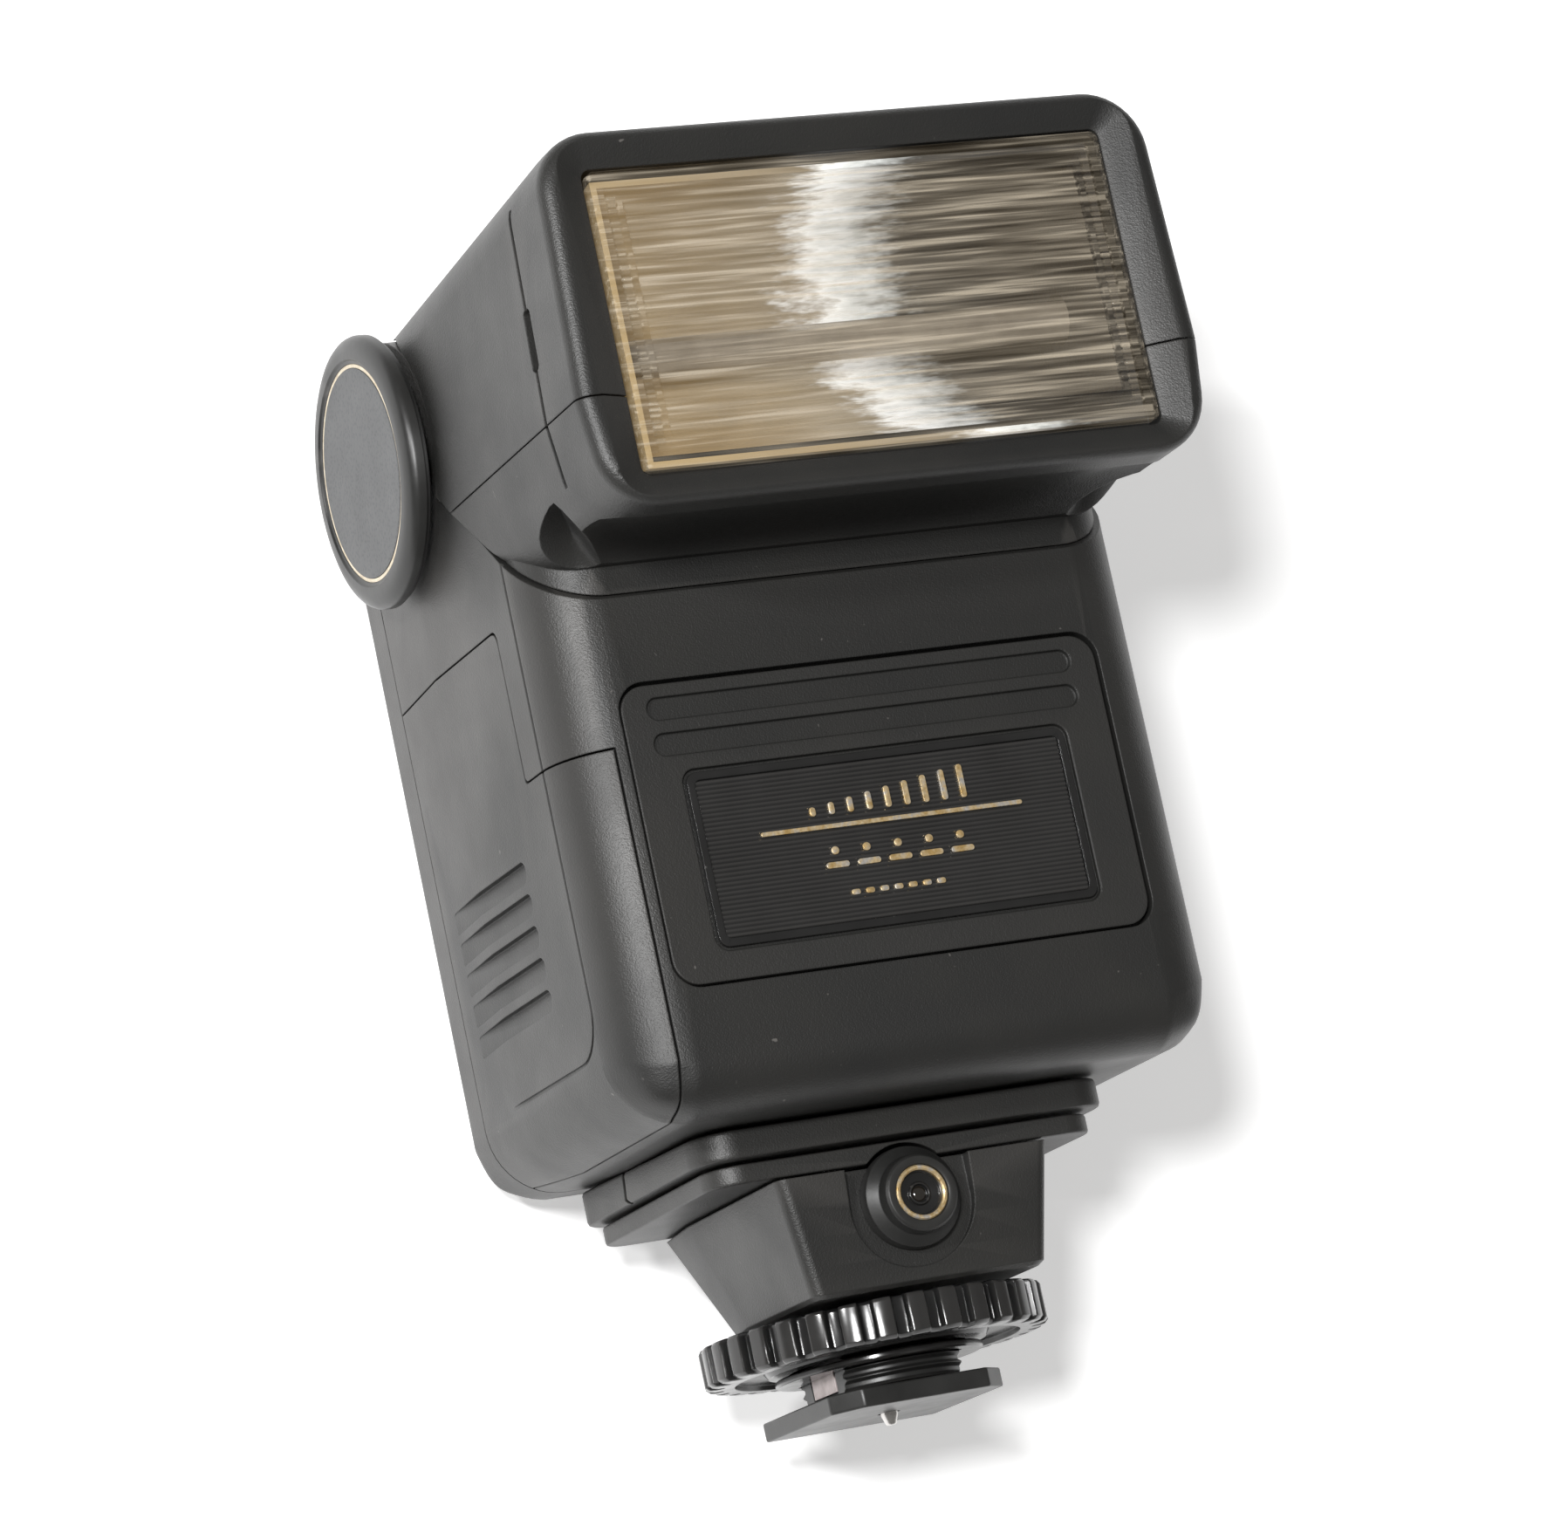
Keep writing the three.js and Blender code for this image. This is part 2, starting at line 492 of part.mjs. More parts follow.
// A trough reflector, round behind the tube and flaring to the window, with closed ends.
function reflector() {
  const mid = (WINDOW.bottom + WINDOW.top) / 2;
  const trough = (t) => {
    const shape = new THREE.Shape();
    const half = (WINDOW.top - WINDOW.bottom) / 2 - 0.6 - t;
    shape.moveTo(WINDOW.back + GAP, mid + half);
    shape.quadraticCurveTo(-34, mid + half * 0.9, -30.5 - t, mid);
    shape.quadraticCurveTo(-34, mid - half * 0.9, WINDOW.back + GAP, mid - half);
    return shape;
  };
  const halfX = WINDOW.halfW - 0.8;
  const cavity = join(prism('x', trough(0.6), -halfX + 0.6, halfX - 0.6, 10),
    box(-halfX + 0.6, halfX - 0.6, -60, WINDOW.back + GAP + 0.01, mid - 13, mid + 13));
  const tubeHoles = rod('x', 2.6, -40, 40, -36.5, mid, 16);
  return cut(prism('x', trough(0), -halfX, halfX, 10), cavity, tubeHoles);
}
part('flash_reflector', reflector(), LOOKS.brightAlloy, head);

const TUBE_Z = (WINDOW.bottom + WINDOW.top) / 2;
const tubeSeat = place(0, -36.5, TUBE_Z, head);
const tubeGlass = turned([[0, -26.7], [1.9, -26.7], [1.9, 26.7], [0, 26.7]], 12);
part('flash_tube', tubeGlass, LOOKS.clear, tubeSeat).rotation.y = Math.PI / 2;
[-1, 1].forEach((side) => {
  const seat = place(0, -36.5, TUBE_Z, head);
  const [x0, x1] = [side * 27, side * 29.25].sort((a, b) => a - b);
  part(`tube_holder_${side < 0 ? 'left' : 'right'}`, box(x0, x1, -3, 3, -3, 3), LOOKS.rubber, seat);
});
const coilSeat = place(-15, -22, 106, head);
const coil = turned([[0, 0], [3.6, 0], [3.6, 1], [3, 1], [3, 9], [3.6, 9], [3.6, 10], [0, 10]], 16);
part('trigger_coil', coil, LOOKS.copper, coilSeat).rotation.y = Math.PI / 2;

[-1, 1].forEach((side) => {
  const hand = side < 0 ? 'left' : 'right';
  const span = (a, b) => [side * a, side * b].sort((p, q) => p - q);
  const sleeve = tube('x', AXLE_R, AXLE_BORE_R, ...span(24.4, 31.2), 0, PIVOT_Z);
  const collar = tube('x', 6.5, AXLE_BORE_R, ...span(24.4, 25.3), 0, PIVOT_Z);
  const notches = [];
  if (side > 0) {
    for (let i = 0; i < 6; i += 1) {
      const a = Math.PI * (0.5 + i * 0.1);
      notches.push(rod('x', 0.7, 20, 30, 6.5 * Math.cos(a), PIVOT_Z + 6.5 * Math.sin(a), 8));
    }
  }
  part(`pivot_axle_${hand}`, cut(join(sleeve, collar), ...notches), LOOKS.steel, head);

  const capBody = rod('x', CAP.r, ...span(CAP.x0, CAP.x1), 0, PIVOT_Z, 36);
  const capRim = tube('x', CAP.r + 2, CAP.r - 1.1, ...span(CAP.x1 - 1, CAP.x1 + 1), 0, PIVOT_Z, 36);
  const bed = rod('x', CAP.inlayR + GAP, ...span(CAP.x1 - CAP.inlayDepth, CAP.x1 + 1), 0, PIVOT_Z, 36);
  const spigot = rod('x', AXLE_BORE_R - GAP, ...span(27.5, CAP.x0 + 0.5), 0, PIVOT_Z);
  part(`pivot_cap_${hand}`, join(cut(capBody, capRim, bed), spigot), LOOKS.casing);
  const inlaySpan = span(CAP.x1 - CAP.inlayDepth + GAP, CAP.x1 - 0.1);
  part(`pivot_inlay_${hand}`, rod('x', CAP.inlayR, ...inlaySpan, 0, PIVOT_Z, 36), LOOKS.inlay);
});

[-1, 1].forEach((side) => {
  const seat = place(side * HEAD_SCREW.x, HEAD_SCREW.y, HEAD_SCREW.head, head);
  const name = `head_screw_${side < 0 ? 'left' : 'right'}`;
  part(name, screw(2, 0.9, 1, 8), LOOKS.steel, seat).rotation.x = Math.PI;
});

// ---------------------------------------------------------------- shoe bracket
// The flange's top follows the body's rising bottom behind the crease.
const flangeRise = (BOTTOM_RISE * FLANGE.y1) / BODY_BACK;
const flangeProfile = outline([[FLANGE.y0 - 1, FLANGE.z0], [FLANGE.y1 + 1, FLANGE.z0],
  [FLANGE.y1 + 1, FLANGE.z1 + flangeRise], [0, FLANGE.z1], [FLANGE.y0 - 1, FLANGE.z1]]);
part('base_flange', cut(
  meet(prism('z', rect(-FLANGE.halfW, FLANGE.halfW, FLANGE.y0, FLANGE.y1, FLANGE.corner), 20, 30),
    prism('x', flangeProfile, -40, 40)),
  box(-10, 10, -10, 10, 20, 30)), LOOKS.casing);
part('module_plate', cut(
  prism('z', rect(-MODULE.halfW, MODULE.halfW, MODULE.y0, MODULE.y1, MODULE.corner), MODULE.z0, MODULE.z1),
  box(-9, 9, -9, 9, 20, 30), rod('y', SENSOR.bezelR + GAP, -30, -10, SENSOR.x, SENSOR.z)), LOOKS.casing);

function neckForm(t) {
  const w = NECK.topHalfW - t;
  const shape = rect(-w, w, NECK.frontTop + t, NECK.backTop - t, NECK.corner - t / 2);
  const z0 = t > 0 ? NECK.z0 + t : NECK.z0;
  const g = prismGeometry('z', shape, z0, t > 0 ? NECK.z1 + 1 : NECK.z1);
  return solid(morph(g, (x, y, z) => {
    const k = THREE.MathUtils.clamp((NECK.z1 - z) / (NECK.z1 - NECK.z0), 0, 1);
    const wide = THREE.MathUtils.lerp(1, NECK.bottomHalfW / NECK.topHalfW, k);
    const front = THREE.MathUtils.lerp(NECK.frontTop, NECK.frontBottom, k);
    const back = THREE.MathUtils.lerp(NECK.backTop, NECK.backBottom, k);
    const u = (y - NECK.frontTop) / (NECK.backTop - NECK.frontTop);
    return [x * wide, front + (back - front) * u, z];
  }));
}

function neckBlock() {
  const arch = outline([[SENSOR.x - SENSOR.recessHalfW, SENSOR.z - SENSOR.recessHalfW, 6.3],
    [SENSOR.x + SENSOR.recessHalfW, SENSOR.z - SENSOR.recessHalfW, 6.3],
    [SENSOR.x + SENSOR.recessHalfW, 30], [SENSOR.x - SENSOR.recessHalfW, 30]]);
  const recess = prism('y', arch, -30, -17.4 + SENSOR.recessDepth);
  const sensorHole = rod('y', 3.4, -30, -5, SENSOR.x, SENSOR.z, 20);
  const pinHole = rod('z', 2.2, 5, 20);
  const screwHoles = [-5, 5].map((y) => rod('z', 1.5, 5, 20, 0, y, 10));
  return cut(neckForm(0), neckForm(NECK.wall), recess, sensorHole, pinHole, ...screwHoles);
}
part('neck_block', neckBlock(), LOOKS.casing);

const sensor = place(SENSOR.x, -17, SENSOR.z);
const bezel = turned([[2.9, 3.2], [2.9, -4], [3.1, -4], [3.1, -0.4], [SENSOR.bezelR, -0.4],
  [SENSOR.bezelR, 0.5], [4.2, 1.4], [3.9, 3.2], [2.9, 3.2]], 28);
const trimRing = turned([[1.9, 2.8], [1.9, 1.8], [2.6, 1.8], [2.6, 2.8], [1.9, 2.8]], 28);
const cell = turned([[0, -3], [2.5, -3], [2.5, 1.4], [1.5, 1.4], [1.5, 2.2], [0, 2.4]], 20);
part('sensor_bezel', bezel, LOOKS.glossBlack, sensor).rotation.x = Math.PI / 2;
part('sensor_ring', trimRing, LOOKS.gold, sensor).rotation.x = Math.PI / 2;
part('sensor_cell', cell, LOOKS.lensDark, sensor).rotation.x = Math.PI / 2;

// ---------------------------------------------------------------- locking ring and foot
function lockingRing() {
  const shape = new THREE.Shape();
  const step = (Math.PI * 2) / RING.teeth;
  const root = RING.r - RING.toothDepth;
  const tooth = [[0, RING.r], [0.55, RING.r], [0.64, root], [0.91, root]];
  for (let i = 0; i < RING.teeth; i += 1) {
    tooth.forEach(([k, r], j) => {
      const a = (i + k) * step;
      if (i + j === 0) shape.moveTo(r * Math.cos(a), r * Math.sin(a));
      else shape.lineTo(r * Math.cos(a), r * Math.sin(a));
    });
  }
  return cut(prism('z', shape, RING.z0, RING.z1), rod('z', RING.bore, 0, 20, 0, 0, 32));
}
part('locking_ring', lockingRing(), LOOKS.glossBlack);

const flats = box(-STEM.flatX - GAP, STEM.flatX + GAP, -20, 20, 0, 20);
const studHole = meet(rod('z', STEM.r + GAP, 0, 20, 0, 0, 32), flats);
part('lock_washer', cut(rod('z', WASHER.r, WASHER.z0, WASHER.z1, 0, 0, 32), studHole), LOOKS.glossBlack);

function footStem() {
  const round = rod('z', STEM.r, STEM.z0, STEM.z1, 0, 0, 32);
  const stud = meet(round, box(-STEM.flatX, STEM.flatX, -20, 20, 0, 20));
  const contactBed = box(-10, -STEM.flatX + 0.5, -3.1, 3.1, 2.4, 5.1);
  const screwHoles = [-5, 5].map((y) => rod('z', 1.4, 5, 20, 0, y, 10));
  return cut(stud, rod('z', STEM.bore, 0, 20, 0, 0, 16), contactBed, ...screwHoles);
}
part('foot_stem', footStem(), LOOKS.casing);
part('ground_contact', box(-STEM.flatX - 0.05, -STEM.flatX + 0.2, -2.8, 2.8, 2.6, 4.8), LOOKS.steel);
part('foot_plate', cut(
  prism('z', outline([[-FOOT.half + FOOT.chamfer, -FOOT.halfY], [FOOT.half - FOOT.chamfer, -FOOT.halfY],
    [FOOT.half, -FOOT.halfY + FOOT.chamfer], [FOOT.half, FOOT.halfY], [-FOOT.half, FOOT.halfY],
    [-FOOT.half, -FOOT.halfY + FOOT.chamfer]]), 0, FOOT.top),
  rod('z', PIN.r + GAP, -1, 5, 0, 0, 16)), LOOKS.casing);

const pinCollarTop = PIN.collarZ + PIN.collarH;
const pin = turned([[0, PIN.tip], [PIN.r * 0.6, PIN.tip], [PIN.r, PIN.tip + 0.5], [PIN.r, PIN.collarZ],
  [PIN.collarR, PIN.collarZ], [PIN.collarR, pinCollarTop], [0.6, pinCollarTop], [0.6, PIN.top],
  [0, PIN.top]], 14);
part('contact_pin', pin, LOOKS.steel);
const springSeat = place(0, 0, pinCollarTop + GAP + 0.2);
part('pin_spring', coilSpring(1.2, 0.2, 4.4, 4), LOOKS.steel, springSeat);
[-5, 5].forEach((y, i) => {
  const seat = place(0, y, NECK.z0 + NECK.wall + GAP + 1.1);
  part(`foot_screw_${i + 1}`, screw(2, 1, 1.05, 5.6), LOOKS.steel, seat);
});

// ---------------------------------------------------------------- controls on the back
part('calculator_plate', cut(
  prism('y', rect(-REAR_PLATE.halfW, REAR_PLATE.halfW, REAR_PLATE.bottom, REAR_PLATE.top, 1.8),
    BODY_BACK - REAR_PLATE.depth, BODY_BACK - 0.1),
  rod('y', 2, 0, 40, DIAL.x, DIAL.z, 16)), LOOKS.inlay);

function dialDisc() {
  const shape = new THREE.Shape();
  const notches = 36;
  for (let i = 0; i < notches * 2; i += 1) {
    const r = i % 2 ? DIAL.r - 0.5 : DIAL.r;
    const a = (i / (notches * 2)) * Math.PI * 2;
    if (i === 0) shape.moveTo(DIAL.x + r, DIAL.z);
    else shape.lineTo(DIAL.x + r * Math.cos(a), DIAL.z + r * Math.sin(a));
  }
  const y0 = BODY_BACK - 0.1 + GAP;
  const window = box(-4, 4, 0, 40, DIAL.z + 6.5, DIAL.z + 9.5);
  return cut(prism('y', shape, y0, y0 + DIAL.thickness), rod('y', 2, 0, 40, DIAL.x, DIAL.z, 16), window);
}
part('calculator_dial', dialDisc(), LOOKS.casing);
const hubSeat = place(DIAL.x, BODY_BACK + DIAL.thickness + 0.8, DIAL.z);
part('dial_hub', screw(3, 0.4, 1.7, 6), LOOKS.steel, hubSeat).rotation.x = -Math.PI / 2;

const lampSeat = place(-15, BODY_BACK - 3, SWITCH_Z);
const lamp = turned([[0, -1], [3.6, -1], [3.6, 0.4], [2.4, 0.4], [2.4, 3.1], [1.6, 3.7], [0, 3.9]], 18);
part('ready_lamp', lamp, LOOKS.amber, lampSeat).rotation.x = -Math.PI / 2;
const buttonSeat = place(15, BODY_BACK - 3, SWITCH_Z);
const button = turned([[0, -1.5], [4.3, -1.5], [4.3, 0.4], [3.1, 0.4], [3.1, 4.1], [2.7, 4.5], [0, 4.5]], 18);
part('test_button', button, LOOKS.glossBlack, buttonSeat).rotation.x = -Math.PI / 2;

function slider(width, slotHalf, z) {
  // a block spanning the slider's width, from depth y0 to y1 and standing out past the slot by lip
  const block = (halfW, y0, y1, lip) =>
    box(-halfW, halfW, BODY_BACK + y0, BODY_BACK + y1, z - slotHalf - lip, z + slotHalf + lip);
  const stem = block(width * 0.3, -4.6, 0.6, -GAP);
  const knob = block(width / 2, 0.3, 1.9, 0.8);
  const foot = block(width / 2 + 1, -4.6, -3, 1.5);
  const ribs = [-1.4, 0, 1.4].map((x) => box(x - 0.3, x + 0.3, BODY_BACK + 1.4, BODY_BACK + 3, z - 3, z + 3));
  return cut(join(stem, knob, foot), ...ribs);
}
const powerSeat = place(-3, 0, 0);
part('power_switch', slider(6, 1.6, SWITCH_Z), LOOKS.glossBlack, powerSeat);
const modeSeat = place(-4.5, 0, 0);
part('mode_selector', slider(5.5, 1.4, MODE_Z), LOOKS.glossBlack, modeSeat);

export default flash;
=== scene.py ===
import math

import bmesh
import bpy
from mathutils import Matrix, Vector


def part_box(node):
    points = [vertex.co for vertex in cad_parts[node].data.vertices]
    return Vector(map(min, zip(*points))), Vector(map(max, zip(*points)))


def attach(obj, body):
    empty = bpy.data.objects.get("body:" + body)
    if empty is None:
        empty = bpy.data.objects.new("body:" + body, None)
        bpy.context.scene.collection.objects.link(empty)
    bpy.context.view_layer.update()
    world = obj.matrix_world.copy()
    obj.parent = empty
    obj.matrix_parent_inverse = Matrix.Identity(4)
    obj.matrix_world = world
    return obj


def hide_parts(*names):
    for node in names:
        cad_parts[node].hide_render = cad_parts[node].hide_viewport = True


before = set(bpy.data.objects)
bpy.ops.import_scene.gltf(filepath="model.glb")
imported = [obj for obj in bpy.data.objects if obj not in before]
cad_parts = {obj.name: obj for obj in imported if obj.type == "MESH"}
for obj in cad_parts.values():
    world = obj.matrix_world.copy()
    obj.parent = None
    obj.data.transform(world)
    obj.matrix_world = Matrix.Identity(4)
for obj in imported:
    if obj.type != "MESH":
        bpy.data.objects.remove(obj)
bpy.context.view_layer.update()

MM = 0.001
scene = bpy.context.scene


def span(node):
    """A CAD node's lowest and highest corner, in millimetres."""
    low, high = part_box(node)
    return low / MM, high / MM


# ------------------------------------------------------------------ places, in millimetres
SHELL_LOW, SHELL_HIGH = span("front_shell")
COVER_HIGH = span("rear_cover")[1]
DOOR_HIGH = span("battery_door")[1]
HEAD_LOW, HEAD_HIGH = span("head_upper_shell")
WINDOW_LOW, WINDOW_HIGH = span("flash_window")
PANEL_LOW, PANEL_HIGH = span("front_panel")
PLATE_LOW, PLATE_HIGH = span("nameplate")
CAP_LOW, CAP_HIGH = span("pivot_cap_right")
FLANGE_LOW, FLANGE_HIGH = span("base_flange")
MODULE_LOW, MODULE_HIGH = span("module_plate")
NECK_LOW, NECK_HIGH = span("neck_block")
BEZEL_LOW, BEZEL_HIGH = span("sensor_bezel")
RING_LOW, RING_HIGH = span("locking_ring")
WASHER_LOW, WASHER_HIGH = span("lock_washer")
STEM_LOW, STEM_HIGH = span("foot_stem")
FOOT_LOW, FOOT_HIGH = span("foot_plate")
PIN_LOW, PIN_HIGH = span("contact_pin")
DIAL_LOW, DIAL_HIGH = span("calculator_dial")
REAR_LOW, REAR_HIGH = span("calculator_plate")
LAMP_LOW, LAMP_HIGH = span("ready_lamp")
BUTTON_LOW, BUTTON_HIGH = span("test_button")
MODE_LOW, MODE_HIGH = span("mode_selector")

SEAM = 0.22  # visible width of a seam between two mouldings
WALL = 2.2
SIDE_X = SHELL_HIGH.x
FRONT_Y = SHELL_LOW.y
BACK_Y = COVER_HIGH.y
BOTTOM_Z = SHELL_LOW.z
TAPER = SIDE_X - COVER_HIGH.x + 0.7  # the sides draw in by this much from the crease to the back
RISE = 1.1  # the bottom climbs by this much from the crease to the back
BLOCK_TOP = 125  # the uncut body block reaches up past the head
CORNER_R = 7.0
FRONT_BOTTOM_R = 5.0
BACK_R = 3.5
BACK_BOTTOM_R = 2.5
SPLIT_Y = SHELL_HIGH.y

PIVOT = Vector((0, 0, (CAP_LOW.z + CAP_HIGH.z) / 2))
SLOPE = math.radians(42)
SEAM_Z = 77.5  # the seam under the head, on the front face
EAR_R = SHELL_HIGH.z - PIVOT.z
EAR_X = 27.9
BARREL_R = 14.0
SADDLE_R = BARREL_R + 0.4
AXLE_BORE_R = 4.1
SHOULDER_Z = COVER_HIGH.z

HEAD_FRONT = HEAD_LOW.y
HEAD_TOP = HEAD_HIGH.z
HEAD_REAR_TOP = PIVOT.z + BARREL_R
PARTING_Z = HEAD_LOW.z
BEZEL_BOTTOM = 80.6
HEAD_HALF = {"bottom": 31.0, "parting": 32.2, "top": 31.5}
HEAD_R = 6.0
HEAD_WALL = 2.2
RIM_R = 1.5  # the rounded edge round the head's front
SEAM_LIFT = 0.25  # gap between the head and the body along the sloping seam


# ------------------------------------------------------------------ mesh helpers, in millimetres
def mesh_object(name, points, faces):
    mesh = bpy.data.meshes.new(name)
    mesh.from_pydata([Vector(p) * MM for p in points], [], faces)
    made = bmesh.new()
    made.from_mesh(mesh)
    bmesh.ops.remove_doubles(made, verts=made.verts, dist=1e-7)
    bmesh.ops.recalc_face_normals(made, faces=made.faces)
    made.to_mesh(mesh)
    made.free()
    obj = bpy.data.objects.new(name, mesh)
    scene.collection.objects.link(obj)
    return obj


def outline(corners, arc=8):
    """A closed outline through corners (u, v, radius), with each radius as an arc."""
    points = []
    for i, (u, v, r) in enumerate(corners):
        p = Vector((u, v))
        if r <= 0:
            points.append(p)
            continue
        to_last = (Vector(corners[i - 1][:2]) - p).normalized()
        to_next = (Vector(corners[(i + 1) % len(corners)][:2]) - p).normalized()
        half = math.acos(max(-1, min(1, to_last.dot(to_next)))) / 2
        reach = r / math.tan(half)
        centre = p + (to_last + to_next).normalized() * (r / math.sin(half))
        first = p + to_last * reach - centre
        last = p + to_next * reach - centre
        start = math.atan2(first.y, first.x)
        turn = (math.atan2(last.y, last.x) - start + math.pi) % math.tau - math.pi
        for k in range(arc + 1):
            a = start + turn * k / arc
            points.append(centre + Vector((math.cos(a), math.sin(a))) * r)
    return points


def rectangle(u0, u1, v0, v1, r=0, arc=8):
    return outline([(u0, v0, r), (u1, v0, r), (u1, v1, r), (u0, v1, r)], arc)


def circle(r, u=0, v=0, sides=64):
    return [Vector((u + r * math.cos(a), v + r * math.sin(a)))
            for a in (math.tau * i / sides for i in range(sides))]


def at(axis, u, v, w):
    """A point from two coordinates in the plane across an axis, in X, Y, Z order, and one along it."""
    if axis == "x":
        return (w, u, v)
    if axis == "y":
        return (u, w, v)
    return (u, v, w)


def loft(name, rings):
    """A closed skin through rings with the same number of points, with flat ends."""
    n = len(rings[0])
    points = [p for ring in rings for p in ring]
    faces = []
    for j in range(len(rings) - 1):
        for i in range(n):
            k = (i + 1) % n
            faces.append((j * n + i, j * n + k, (j + 1) * n + k, (j + 1) * n + i))
    faces.append(tuple(range(n)))
    faces.append(tuple(range(len(points) - n, len(points))))
    return mesh_object(name, points, faces)


def prism(name, axis, shape, start, end):
    return loft(name, [[at(axis, u, v, w) for u, v in shape] for w in (start, end)])


def block(name, x0, x1, y0, y1, z0, z1):
    return prism(name, "z", rectangle(x0, x1, y0, y1), z0, z1)


def turned(name, profile, axis, centre=(0, 0, 0), sides=96):
    """A closed profile of (radius, height) turned about an axis through centre."""
    points = []
    for i in range(sides):
        a = math.tau * i / sides
        for r, h in profile:
            p = Vector(at(axis, r * math.cos(a), r * math.sin(a), h))
            points.append(p + Vector(centre))
    n = len(profile)
    faces = []
    for i in range(sides):
        k = (i + 1) % sides
        for j in range(n):
            m = (j + 1) % n
            if profile[j][0] or profile[m][0]:
                faces.append((i * n + j, i * n + m, k * n + m, k * n + j))
    return mesh_object(name, points, faces)


def bake(obj):
    """Applies an object's modifiers to its mesh."""
    graph = bpy.context.evaluated_depsgraph_get()
    mesh = bpy.data.meshes.new_from_object(obj.evaluated_get(graph))
    old = obj.data
    obj.modifiers.clear()
    obj.data = mesh
    bpy.data.meshes.remove(old)
    return obj


def boolean(obj, tools, operation):
    for tool in tools:
        modifier = obj.modifiers.new("boolean", "BOOLEAN")
        modifier.operation = operation
        modifier.solver = "EXACT"
        modifier.use_self = tool.name.startswith("cove")
        modifier.object = tool
        bake(obj)
        bpy.data.objects.remove(tool)
    return obj


def cut(obj, *tools):
    return boolean(obj, tools, "DIFFERENCE")


def join(obj, *tools):
    return boolean(obj, tools, "UNION")


def meet(obj, *tools):
    return boolean(obj, tools, "INTERSECT")


def copy_of(obj, name):
    made = bpy.data.objects.new(name, obj.data.copy())
    scene.collection.objects.link(made)
    return made


def round_edges(obj, width, segments=3, angle=35):
    """Rounds the sharp edges of a piece with a clean mesh."""
    modifier = obj.modifiers.new("edges", "BEVEL")
    modifier.width = width * MM
    modifier.segments = segments
    modifier.limit_method = "ANGLE"
    modifier.angle_limit = math.radians(angle)
    return bake(obj)


def finish_mesh(obj, angle=30):
    obj.data.shade_smooth()
    obj.data.set_sharp_from_angle(angle=math.radians(angle))
    modifier = obj.modifiers.new("normals", "WEIGHTED_NORMAL")
    modifier.keep_sharp = True
    return obj


def piece(obj, body, finish, nodes=(), angle=30):
    """Gives a finished piece its material, the body that it rides and the nodes it stands for."""
    finish_mesh(obj, angle)
    obj.data.materials.clear()
    obj.data.materials.append(finish)
    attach(obj, body)
    if nodes:
        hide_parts(*nodes)
    return obj


